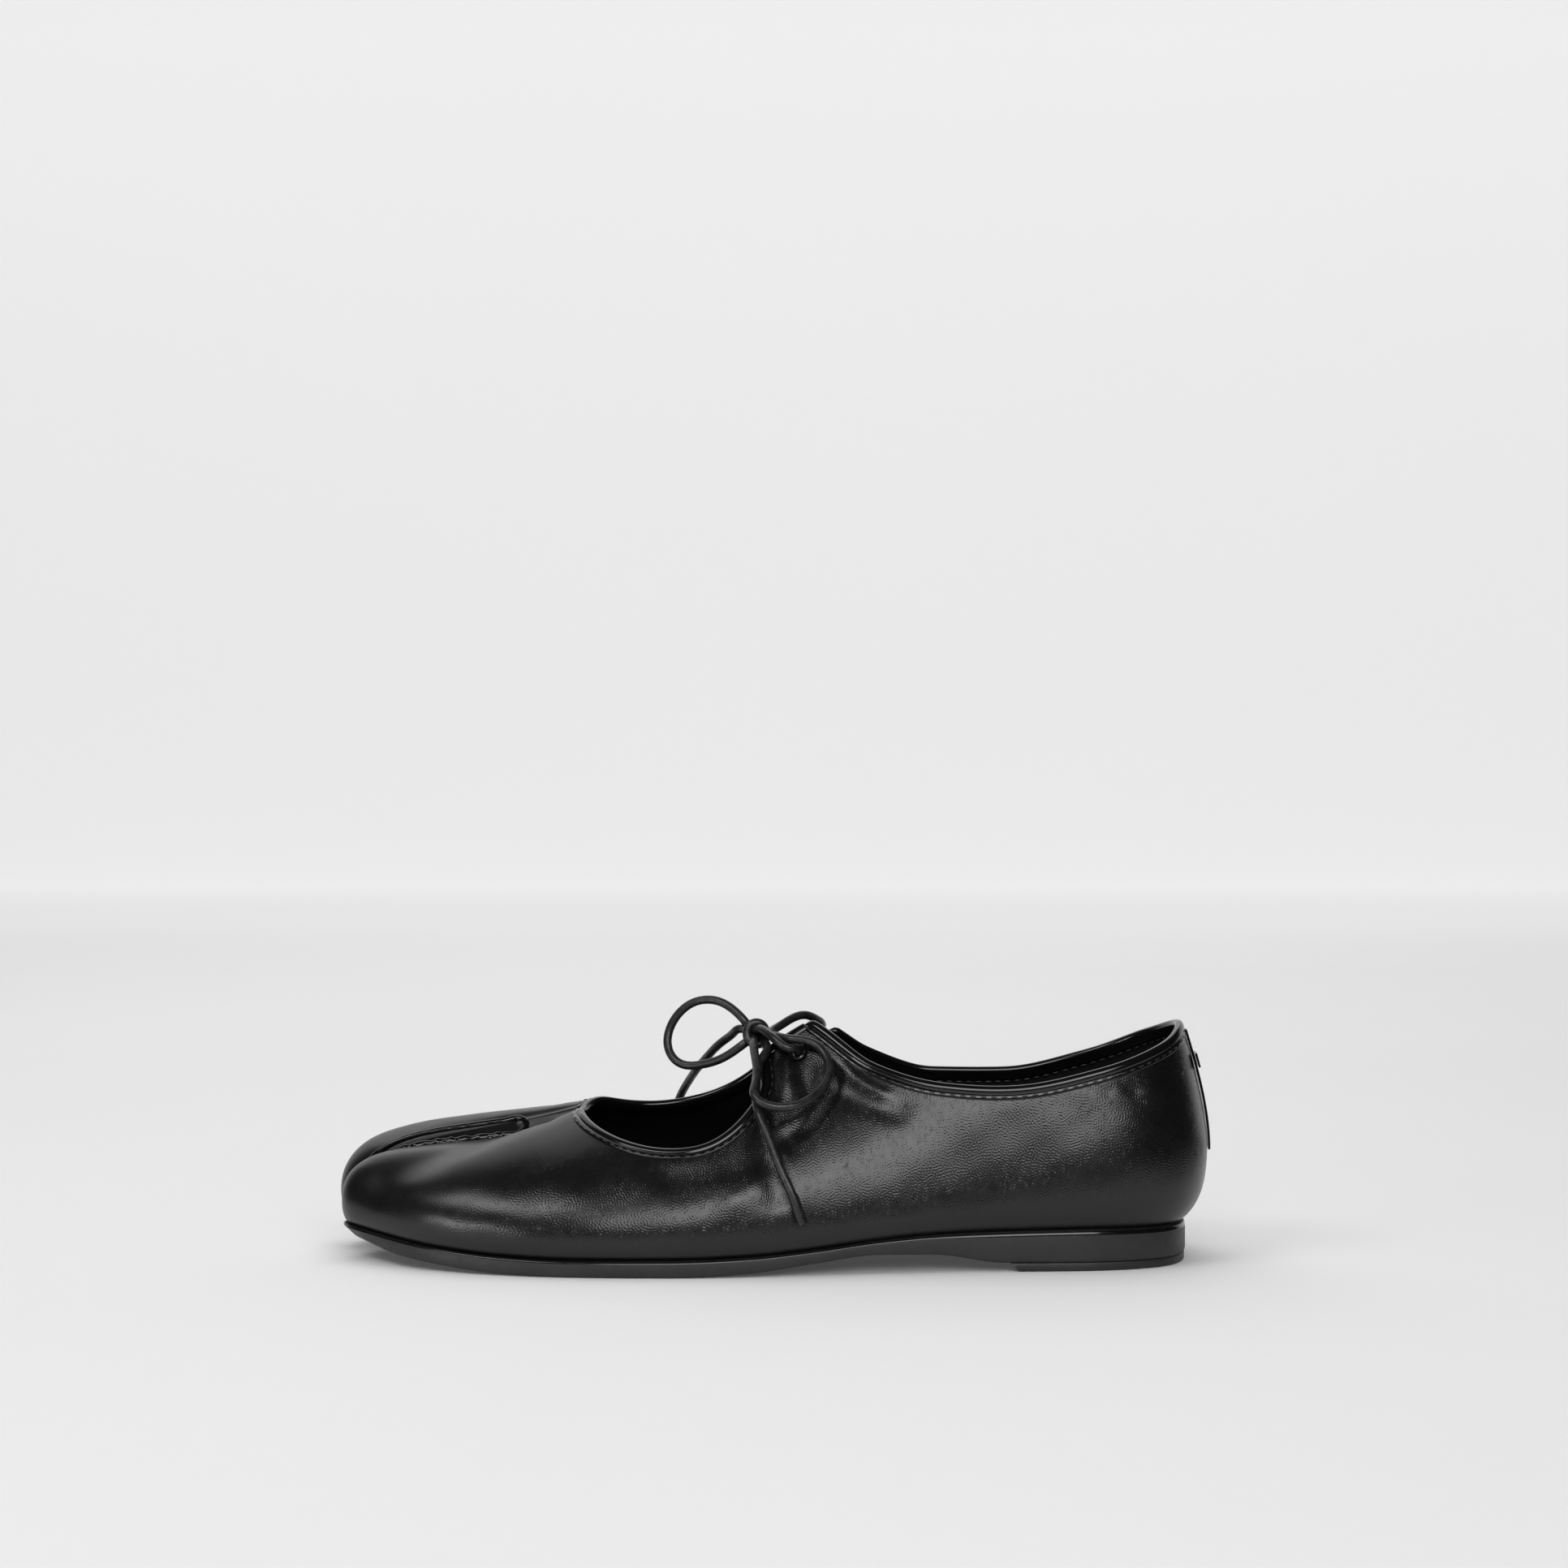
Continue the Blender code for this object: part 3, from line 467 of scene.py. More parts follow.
@dataclass(frozen=True)
class GrainLeather:
    """Black leather with a worm-like wrinkle grain under a gloss finish."""

    name: str
    dark: Colour = (0.0016, 0.0015, 0.0018)
    light: Colour = (0.004, 0.0038, 0.0044)
    patches: Noise = Noise(40, 3)
    gloss: tuple[float, float] = (0.24, 0.3)
    gloss_patches: Noise = Noise(220, 3)
    plain_haze: float = 0.08
    pores: Noise = Noise(4000)
    pore_share: float = 0.5
    wrinkled: bool = True
    wrinkle_share: float = 3.0
    cells: float = 520.0
    ripples: float = 2.4
    lean: float = 0.15
    grain_mm: float = 0.026

    def material(self) -> Material:
        """Make the material, whose wrinkles follow the mesh's own places and strength.

        Returns:
            The finish as a material.
        """
        nodes = Nodes(self.name)
        grain = nodes.math("MULTIPLY", nodes.noise(self.pores), self.pore_share)
        roughness = nodes.between(nodes.noise(self.gloss_patches), self.gloss)
        if self.wrinkled:
            sockets = {"Scale": self.cells, "Frequency": self.ripples, "Anisotropy": self.lean}
            sockets["Vector"] = nodes.attribute("skin", "Vector")
            worms = nodes.add("ShaderNodeTexGabor", sockets, gabor_type="2D").outputs["Value"]
            worms = nodes.math("MULTIPLY", worms, self.wrinkle_share)
            amount = nodes.attribute("grain", "Fac")
            grain = nodes.math("MULTIPLY", nodes.math("ADD", grain, worms), amount)
            haze = nodes.math("MULTIPLY", nodes.math("SUBTRACT", 1.0, amount), self.plain_haze)
            roughness = nodes.math("ADD", roughness, haze)
        nodes.bump(grain, self.grain_mm)
        nodes.tint(nodes.noise(self.patches), self.dark, self.light)
        nodes.feed(nodes.shader, {"Roughness": roughness})
        return nodes.material


@dataclass(frozen=True)
class PlainFinish:
    """A finish of one patchy colour, with fine relief in millimetres."""

    name: str
    dark: Colour
    light: Colour
    gloss: tuple[float, float]
    patches: Noise = Noise(60, 4)
    gloss_patches: Noise = Noise(180)
    relief: tuple[tuple[Noise, float], ...] = ((Noise(1300, 3), 0.05),)
    shine: float = 0.5
    coat: tuple[float, float] = (0.0, 0.03)

    def material(self) -> Material:
        """Make the material.

        Returns:
            The finish as a material.
        """
        nodes = Nodes(self.name)
        nodes.tint(nodes.noise(self.patches), self.dark, self.light)
        for noise, depth_mm in self.relief:
            nodes.bump(nodes.noise(noise), depth_mm)
        nodes.feed(nodes.shader, {
            "Roughness": nodes.between(nodes.noise(self.gloss_patches), self.gloss),
            "Specular IOR Level": self.shine,
            "Coat Weight": self.coat[0],
            "Coat Roughness": self.coat[1],
        })
        return nodes.material


LEATHER = GrainLeather("gloss_black_leather")
TRIM = GrainLeather("folded_black_leather", gloss=(0.11, 0.18), grain_mm=0.006, wrinkled=False)
LINING = PlainFinish(
    "black_lining", (0.004, 0.004, 0.004), (0.008, 0.0077, 0.008), (0.42, 0.55), shine=0.3
)
# Dull near-black finish for the cleft's walls ahead of its rear end: painted shade, so the deep slot reads
# black instead of catching the lights.
CLEFT_PAINTED_SHADE = PlainFinish(
    "cleft_wall_painted_shade", (0.001, 0.001, 0.001), (0.003, 0.003, 0.003), (0.6, 0.7), shine=0.12
)
SOCK = PlainFinish("black_sock", (0.009, 0.009, 0.009), (0.02, 0.0195, 0.02), (0.5, 0.65))
SOLE = PlainFinish(
    "black_sole_rubber", (0.008, 0.008, 0.0085), (0.015, 0.015, 0.0155), (0.42, 0.55),
    patches=Noise(90, 4), gloss_patches=Noise(300, 3), relief=((Noise(2200), 0.04), (Noise(120), 0.12)),
)
LACE = PlainFinish(
    "waxed_lace_leather", (0.0035, 0.0035, 0.0037), (0.017, 0.017, 0.0176), (0.26, 0.42),
    patches=Noise(420, 4, 0.7), gloss_patches=Noise(400), relief=((Noise(620, 3), 0.1), (Noise(2600), 0.03)),
)
EYELET = PlainFinish(
    "black_eyelet_enamel", (0.006, 0.006, 0.006), (0.016, 0.016, 0.017), (0.12, 0.22),
    patches=Noise(500), gloss_patches=Noise(900), relief=(), coat=(0.6, 0.06),
)
THREAD = PlainFinish(
    "black_waxed_thread", (0.008, 0.008, 0.009), (0.022, 0.022, 0.024), (0.28, 0.4),
    patches=Noise(700), gloss_patches=Noise(900, 1), relief=((Noise(3800, 1), 0.05),),
)


@dataclass(frozen=True)
class Finishes:
    """The shoe's materials, made once."""

    leather: Material
    trim: Material
    lining: Material
    # Dull near-black painted shade for the cleft's walls.
    cleft: Material
    sock: Material
    sole: Material
    lace: Material
    eyelet: Material
    thread: Material

    @classmethod
    def make(cls) -> "Finishes":
        """Every finish, made as a material."""
        finishes = (LEATHER, TRIM, LINING, CLEFT_PAINTED_SHADE, SOCK, SOLE, LACE, EYELET, THREAD)
        return cls(*(finish.material() for finish in finishes))


# The last


class Crown(NamedTuple):
    """The top of one cross section of the last, and its tuck under to the sole."""

    name: str
    x: float
    y: float
    half: float
    z: float
    tuck: float


CROWNS = [
    Crown("heel_back", 116.3, 0.0, 0.0, 77, 7.8),
    Crown("heel_corner", 109.3, 0.0, 14.2, 77, 6.4),
    Crown("heel_seat", 92.5, 0.0, 20.8, 77, 4.6),
    Crown("quarter", 67.0, 0.0, 22.6, 77, 4.0),
    Crown("waist", 43.0, 0.5, 20.0, 77.5, 3.8),
    Crown("instep_rear", 22.0, 1.0, 11.5, 78, 3.6),
    Crown("tab_rear", 7.5, 1.6, 4.8, 74.5, 3.4),
    Crown("tab_front", -8.5, 2.0, 3.2, 64.5, 3.2),
    Crown("throat_rear", -23.0, 2.6, 3.2, 56, 3.0),
    Crown("ball", -36.5, 3.4, 4.4, 50, 2.9),
    Crown("joint", -45.0, 4.2, 6.2, 46.6, 2.7),
    Crown("toes", -49.2, 4.8, 7.2, 44.9, 2.4),
    Crown("toe_corner", -51.0, 5.2, 6.6, 44.1, 2.0),
    Crown("toe_front", -51.7, 5.4, 5.4, 43.8, 1.9),
    Crown("toe_tip", -52.0, 5.4, 4.3, 43.7, 1.8),
    Crown("toe_bend", -52.0, 5.4, 3.3, 43.7, 1.8),
    Crown("toe_rim", -52.0, 5.4, 2.45, 43.7, 1.8),
]


class Rib(NamedTuple):
    """One side of a cross section: its widest point, and the heights and reach of the curve over it."""

    name: str
    x: float
    y: float
    z: float
    shoulder: float
    turn: float
    reach: float


LATERAL_RIBS = [
    Rib("heel_back", 126.4, 0.0, 31, 46, 61.5, 0.45),
    Rib("heel_corner", 118.3, -22.3, 28.5, 44, 60.5, 0.45),
    Rib("heel_seat", 96.0, -32.0, 24, 41, 59, 0.42),
    Rib("quarter", 71.0, -33.6, 20.5, 38, 57.5, 0.40),
    Rib("waist", 51.0, -35.0, 18.5, 37, 57.2, 0.42),
    Rib("instep_rear", 34.5, -37.0, 16.5, 37, 58.3, 0.44),
    Rib("tab_rear", 20.0, -39.0, 15, 36, 58.3, 0.46),
    Rib("tab_front", 3.0, -41.3, 13.3, 33, 51.9, 0.48),
    Rib("throat_rear", -14.0, -43.0, 11.8, 29, 44.7, 0.50),
    Rib("ball", -34.0, -43.3, 11, 26, 39.2, 0.52),
    Rib("joint", -57.0, -41.7, 11, 24.5, 35.6, 0.54),
    Rib("toes", -80.0, -36.6, 11.8, 24.5, 33.1, 0.57),
    Rib("toe_corner", -101.0, -27.0, 13.2, 27.5, 31.5, 0.61),
    Rib("toe_front", -115.6, -16.0, 15.4, 31.2, 30.5, 0.42),
    Rib("toe_tip", -123.0, -6.5, 16.6, 40.5, 24.7, 0.35),
    Rib("toe_bend", -121.9, 0.9, 16.8, 40.3, 24.9, 0.33),
    Rib("toe_rim", -117.4, 4.15, 16.2, 40, 25.2, 0.30),
]
MEDIAL_RIBS = [
    Rib("heel_back", 126.4, 0.0, 31, 46, 61.5, 0.45),
    Rib("heel_corner", 118.3, 21.6, 28.5, 44, 60.5, 0.45),
    Rib("heel_seat", 96.0, 31.0, 24.5, 41, 59, 0.42),
    Rib("quarter", 72.0, 31.0, 21.5, 39, 58, 0.40),
    Rib("waist", 51.0, 30.2, 20.5, 39, 58.2, 0.42),
    Rib("instep_rear", 33.0, 30.8, 19, 39, 59.3, 0.44),
    Rib("tab_rear", 19.0, 32.8, 17.5, 38, 59.2, 0.46),
    Rib("tab_front", 5.0, 36.0, 15.8, 35, 52.7, 0.48),
    Rib("throat_rear", -9.0, 39.3, 14.2, 32, 45.9, 0.50),
    Rib("ball", -27.0, 42.2, 13, 30, 41, 0.52),
    Rib("joint", -51.0, 43.3, 12, 29, 37.8, 0.54),
    Rib("toes", -79.0, 41.6, 12.6, 30, 36.3, 0.57),
    Rib("toe_corner", -103.5, 36.6, 14.2, 34.8, 37, 0.61),
    Rib("toe_front", -119.2, 29.3, 15.8, 38, 36.8, 0.60),
    Rib("toe_tip", -126.6, 19.6, 17, 39.2, 36.4, 0.57),
    Rib("toe_bend", -124.6, 11.4, 16.8, 37.6, 35.2, 0.54),
    Rib("toe_rim", -118.8, 6.65, 16.2, 40.5, 31.5, 0.50),
]


class Edge(NamedTuple):
    """Height of the leather's edge at a section number of each side."""

    lat_section: float
    lat_z: float
    med_section: float
    med_z: float


COLLAR_EDGE = [
    Edge(0, 65.7, 0, 65.7),
    Edge(1, 60.9, 1, 62.1),
    Edge(2, 54.3, 2, 54.7),
    Edge(3, 49.4, 3, 49.4),
    Edge(4, 50.3, 4, 49.6),
    Edge(5, 55.7, 5, 56.4),
    Edge(6, 67.6, 5.62, 63.6),
]
TAB_EDGE = [COLLAR_EDGE[-1], Edge(6.72, 60.3, 6.55, 58.4)]


class Throat(NamedTuple):
    """One side of the throat's outline in plan, as quarters of two ovals."""

    widest_x: float
    half: float
    back_reach: float


class SoleLine(NamedTuple):
    """Top and bottom of the sole at one place along the shoe."""

    x: float
    top: float
    bottom: float


SOLE_LINES = [
    SoleLine(-128, 11.1, 7.4),
    SoleLine(-112, 8.8, 4.8),
    SoleLine(-95, 6.6, 2.3),
    SoleLine(-75, 5.0, 0.5),
    SoleLine(-55, 4.4, 0.0),
    SoleLine(-28, 4.5, 0.0),
    SoleLine(-6, 5.2, 1.0),
    SoleLine(12, 6.8, 3.3),
    SoleLine(30, 9.0, 5.4),
    SoleLine(46, 10.3, 5.2),
    SoleLine(66, 11.0, 2.6),
    SoleLine(90, 11.4, 2.5),
    SoleLine(122, 11.0, 2.5),
]


@dataclass
class Last:
    """The form of the shoe, as ribs that run up from the sole all round it."""

    wall: float = 1.6
    gap: float = 0.3
    throat_front_x: float = -56.6
    throat_lateral: Throat = Throat(-20.0, 31.8, 27.0)
    throat_medial: Throat = Throat(-30.0, 23.8, 45.0)
    tab_front_step: float = 0.07
    cleft_middle_y: float = 5.4
    cleft_half_gap: float = 1.25
    cleft_crotch_half: float = 0.35
    cleft_rear_x: float = -73.0
    cleft_notch_x: float = -103.0
    cleft_flare: float = 1.2
    cleft_flare_length: float = 16.0
    low_reach: float = 0.7
    low_rise: float = 0.18
    low_drop: float = 0.5
    halvings: int = 40

    def __post_init__(self) -> None:
        """Work out the ribs and the edges from the tables."""
        self.ribs = np.array(self._rows(LATERAL_RIBS, -1)[::-1] + self._rows(MEDIAL_RIBS, 1)[1:])
        steps = np.linalg.norm(np.diff(self.ribs[:, :2], axis=0), axis=1)
        self.girth = np.concatenate([[0], np.cumsum(steps)])
        self.rib_slopes = spline_slopes(self.girth, self.ribs)
        self.sole_x = np.array([line.x for line in SOLE_LINES], float)
        self.sole_z = np.array([[line.top, line.bottom] for line in SOLE_LINES])
        self.sole_slopes = monotone_slopes(self.sole_x, self.sole_z)
        sides = [self._edge_nodes(COLLAR_EDGE, side) for side in Side]
        self.collar_at = np.concatenate([sides[0][0], sides[1][0][1:]])
        self.collar_share = np.concatenate([sides[0][1], sides[1][1][1:]])[:, None]
        self.collar_slopes = monotone_slopes(self.collar_at, self.collar_share)
        self.tab_nodes = {side: self._edge_nodes(TAB_EDGE, side) for side in Side}

    @staticmethod
    def _rows(ribs: Sequence[Rib], sign: int) -> list[list[float]]:
        """The values of one side's ribs and their crowns.

        Args:
            ribs: The side's ribs.
            sign: -1 on the lateral side, 1 on the medial side.

        Returns:
            A row of values for each rib.
        """
        return [
            [rib.x, rib.y, rib.z, crown.x, crown.y + sign * crown.half, crown.z, rib.shoulder, crown.tuck]
            + [rib.turn, rib.reach]
            for rib, crown in zip(ribs, CROWNS)
        ]

    def _edge_nodes(self, table: Sequence[Edge], side: Side) -> tuple[Array, Array]:
        """An edge of the leather as places along the girth.

        Args:
            table: The edge's rows.
            side: The side to read.

        Returns:
            The places in the girth's order, and the share of the rib at each.
        """
        at = np.array([self.girth_of(getattr(edge, f"{side.value}_section"), side) for edge in table])
        share = self.share_at_height(at, np.array([getattr(edge, f"{side.value}_z") for edge in table]))
        order = np.argsort(at)
        return at[order], share[order]

    def girth_of(self, section: float, side: Side) -> float:
        """Where a section lies along the girth.

        Args:
            section: The section's number, counted from the heel.
            side: The side of the shoe.

        Returns:
            The place along the girth.
        """
        last = len(CROWNS) - 1
        index = last - section if side is Side.LATERAL else last + section
        return float(np.interp(index, np.arange(len(self.girth)), self.girth))

    def sole_heights(self, x: Array) -> Array:
        """Top and bottom of the sole at x."""
        return hermite(self.sole_x, self.sole_z, self.sole_slopes, x).T

    def rib_row(self, girth: Array) -> Array:
        """The ribs' values at places along the girth."""
        return hermite(self.girth, self.ribs, self.rib_slopes, girth)

    def inward(self, girth: Array) -> Array:
        """Level directions into the shoe, square to the widest line.

        Args:
            girth: Places along the girth.

        Returns:
            A direction for each place.
        """
        step = 0.05
        ahead = self.rib_row(np.minimum(girth + step, self.girth[-1]))
        behind = self.rib_row(np.maximum(girth - step, 0))
        along = unit(ahead[:, :2] - behind[:, :2])
        return np.stack([-along[:, 1], along[:, 0], np.zeros(len(girth))], axis=1)

    def feather(self, girth: Array) -> Array:
        """The line where the upper meets the sole.

        Args:
            girth: Places along the girth.

        Returns:
            A point for each place.
        """
        row = self.rib_row(girth)
        line = row[:, :3] + self.inward(girth) * row[:, 7:8]
        line[:, 2] = self.sole_heights(line[:, 0])[0] + self.gap
        return line

    def lower_ribs(self, girth: Array) -> tuple[Array, ...]:
        """Curves from the feather line out to the widest line.

        Args:
            girth: Places along the girth.

        Returns:
            Four arrays of control points, a row for each place.
        """
        row = self.rib_row(girth)
        widest, tuck = row[:, :3], row[:, 7:8]
        line = self.feather(girth)
        height = np.outer(widest[:, 2] - line[:, 2], (0, 0, 1))
        flare = line - self.low_reach * tuck * self.inward(girth) + self.low_rise * height
        return line, flare, widest - self.low_drop * height, widest

    def upper_ribs(self, girth: Array) -> tuple[Array, ...]:
        """Curves from the widest line up and over to the crown.

        Args:
            girth: Places along the girth.

        Returns:
            Four arrays of control points, a row for each place.
        """
        row = self.rib_row(girth)
        widest, crown, shoulder = row[:, :3], row[:, 3:6], row[:, 6]
        rise = np.column_stack([widest[:, :2], shoulder])
        turn = crown + row[:, 9:10] * (widest - crown)
        turn[:, 2] = row[:, 8]
        return widest, rise, turn, crown

    def share_where(self, girth: Array, reached: Callable[[Array], Array]) -> Array:
        """Where a test turns true on the way up each rib.

        Args:
            girth: Places along the girth.
            reached: The test of a row of points.

        Returns:
            The share of each rib.
        """
        ribs = self.upper_ribs(np.atleast_1d(girth))
        low, high = np.zeros(len(ribs[0])), np.ones(len(ribs[0]))
        for _ in range(self.halvings):
            middle = (low + high) / 2
            over = reached(bezier(ribs, middle))
            low, high = np.where(over, low, middle), np.where(over, middle, high)
        return low

    def share_at_height(self, girth: Array, height: Array) -> Array:
        """The share of each rib at a height."""
        return self.share_where(girth, lambda points: points[:, 2] >= height)

    def in_throat(self, points: Array) -> Array:
        """Whether points lie inside the throat's outline, in plan.

        Args:
            points: The points.

        Returns:
            True or false for each.
        """
        x, y = points[:, 0], points[:, 1]
        widest_x, half, back_reach = np.where((y < 0)[:, None], self.throat_lateral, self.throat_medial).T
        along = (x - widest_x) / np.where(x < widest_x, widest_x - self.throat_front_x, back_reach)
        return along**2 + (y / half) ** 2 <= 1

    def tab_front(self, side: Side) -> tuple[float, float]:
        """Places along the girth of a tab's front corner, and of the throat's edge below it."""
        section = getattr(TAB_EDGE[1], f"{side.value}_section")
        return self.girth_of(section, side), self.girth_of(section + self.tab_front_step, side)

    def top_share(self, girth: Array) -> Array:
        """Where the leather ends on each rib.

        Args:
            girth: Places along the girth.

        Returns:
            The share of each rib.
        """
        girth = np.atleast_1d(np.asarray(girth, float))
        share = self.share_where(girth, self.in_throat)
        for side in Side:
            at, shares = self.tab_nodes[side]
            corner, foot = self.tab_front(side)
            foot_share = self.share_where(np.array([foot]), self.in_throat)[0]
            step = np.clip((girth - foot) / (corner - foot), 0, 1)
            front = (step > 0) & (step < 1)
            share[front] = foot_share + (np.interp(corner, at, shares) - foot_share) * step[front]
            tab = (girth >= at[0]) & (girth <= at[-1])
            share[tab] = np.interp(girth[tab], at, shares)
        collar = (girth >= self.collar_at[0]) & (girth <= self.collar_at[-1])
        share[collar] = hermite(self.collar_at, self.collar_share, self.collar_slopes, girth[collar])[:, 0]
        return share

    def surface(self, girth: Array, share: Array) -> Array:
        """Points of the upper's outer face above the widest line."""
        return bezier(self.upper_ribs(np.atleast_1d(girth)), share)

    def normal(self, girth: Array, share: Array) -> Array:
        """Outward directions of the upper's outer face.

        Args:
            girth: Places along the girth.
            share: The share of the rib at each.

        Returns:
            A direction for each place.
        """
        girth = np.atleast_1d(girth)
        share = np.broadcast_to(share, len(girth))
        girth_step, share_step = 0.2, 0.002
        forward, back = np.minimum(girth + girth_step, self.girth[-1]), np.maximum(girth - girth_step, 0)
        high, low = np.minimum(share + share_step, 1), np.maximum(share - share_step, 0)
        across = self.surface(forward, share) - self.surface(back, share)
        return unit(np.cross(across, self.surface(girth, high) - self.surface(girth, low)))

    def rim_half_gap(self, x: Array) -> Array:
        """Half of the cleft's width at its rim."""
        opening = smooth_step((x - self.cleft_rear_x) / self.cleft_flare_length)
        return self.cleft_half_gap + self.cleft_flare * opening

    def cleft_walls(self, rim: Array, sign: int, columns: int) -> list[Array]:
        """Columns from one rim of the cleft down to its crotch.

        Args:
            rim: The rim's points, from the sole up.
            sign: -1 on the lateral side, 1 on the medial side.
            columns: How many columns to make.

        Returns:
            The columns, from the rim inwards.
        """
        length = run_length(rim)
        top = int(np.argmin(rim[:, 0]))
        rear = np.interp(self.cleft_rear_x, rim[top:, 0], length[top:])
        rear_z = np.interp(self.cleft_rear_x, rim[top:, 0], rim[top:, 2])
        notch_z = self.sole_heights(self.cleft_notch_x)[0][0] + self.gap + self.wall
        depth = np.clip(1 - length / rear, 0, 1)[:, None]
        rear_end = np.array([self.cleft_rear_x, self.cleft_middle_y, rear_z])
        notch = np.array([self.cleft_notch_x, self.cleft_middle_y, notch_z])
        crotch = np.where(depth > 0, rear_end * (1 - depth) + notch * depth, rim)
        walls = []
        for share in np.arange(1, columns + 1) / columns:
            wall = rim * (1 - share) + crotch * share
            half = self.rim_half_gap(rim[:, 0]) * (1 - share) + self.cleft_crotch_half * share
            wall[:, 1] = self.cleft_middle_y + sign * half
            walls.append(wall)
        return walls


# The upper


class Plane(Enum):
    """The view that a crease is drawn in, as the two axes that it uses."""

    SIDE = (0, 2)
    PLAN = (0, 1)


class Crease(NamedTuple):
    """A soft trough, or a ridge where its depth is below zero, along a short run of points."""

    name: str
    plane: Plane
    side: Optional[Side]
    width: float
    depth: float
    points: Pairs


CREASES = [
    Crease("eyelet_pull", Plane.SIDE, Side.LATERAL, 1.8, 0.5, ((8.4, 60.0), (8.6, 54.5), (10.0, 50.0))),
    Crease("tab_front_hollow", Plane.SIDE, Side.LATERAL, 1.9, 0.5, ((1.0, 60.0), (2.2, 54.5), (1.8, 48.5))),
    Crease("tab_cheek", Plane.SIDE, Side.LATERAL, 3.2, -0.5, ((5.6, 56.0), (6.4, 51.5))),
    Crease(
        "tab_root", Plane.SIDE, Side.LATERAL, 3.2, 1.2,
        ((18.5, 54.9), (14.0, 47.5), (10.1, 41.7), (5.5, 37.5)),
    ),
    Crease("collar_roll", Plane.SIDE, Side.LATERAL, 2.4, -0.6, ((20.5, 56.5), (25.0, 53.0), (32.0, 49.5))),
    Crease("collar_hollow", Plane.SIDE, Side.LATERAL, 3.4, 0.5, ((19.5, 50.5), (27.0, 47.0), (36.0, 44.5))),
    Crease("vamp_fold", Plane.SIDE, Side.LATERAL, 3.4, 0.9, ((-2.8, 39.9), (0.6, 29.8), (2.9, 22.6))),
    Crease("vamp_ridge", Plane.SIDE, Side.LATERAL, 4.0, -0.5, ((-4.5, 24.5), (-9.0, 22.0))),
    Crease("flex_upper", Plane.SIDE, Side.LATERAL, 3.4, 0.5, ((-4.0, 31.5), (-16.0, 28.0), (-28.0, 26.5))),
    Crease("heel_tuck_high", Plane.SIDE, Side.LATERAL, 1.5, 0.3, ((88.0, 54.0), (95.0, 50.5))),
    Crease("heel_tuck_low", Plane.SIDE, Side.LATERAL, 1.6, 0.3, ((97.0, 55.0), (103.0, 50.0))),
    Crease("medial_tab_root", Plane.SIDE, Side.MEDIAL, 3.0, 0.7, ((19.0, 54.0), (14.0, 46.0), (11.0, 40.0))),
    Crease("medial_flex", Plane.SIDE, Side.MEDIAL, 3.6, 0.6, ((-14.0, 34.0), (-20.0, 25.0), (-23.0, 17.0))),
    Crease("medial_flex_low", Plane.SIDE, Side.MEDIAL, 3.0, 0.5, ((0.0, 32.0), (-4.0, 24.0), (-5.0, 17.0))),
    Crease("cleft_pull_outer", Plane.PLAN, None, 2.2, 0.35, ((-68.5, -1.5), (-63.0, -5.0))),
    Crease("cleft_pull_inner", Plane.PLAN, None, 2.2, 0.35, ((-68.5, 12.3), (-63.0, 15.8))),
]


class Swell(NamedTuple):
    """A slow wave that keeps the leather from looking pressed."""

    length: float
    height: float
    direction: tuple[float, float, float]
    phase: float


SWELLS = [
    Swell(17.0, 0.05, (0.8, 0.2, 0.56), 0.4),
    Swell(26.0, 0.08, (-0.35, 0.3, 0.89), 1.7),
    Swell(11.0, 0.025, (0.55, -0.4, -0.73), 2.9),
]


class Ramp(NamedTuple):
    """A soft rise to 1 over a run that begins at a start."""

    start: float
    run: float
    least: float = 0.0

    def at(self, places: Array) -> Array:
        """The rise's height at places."""
        return self.least + (1 - self.least) * smooth_step((places - self.start) / self.run)


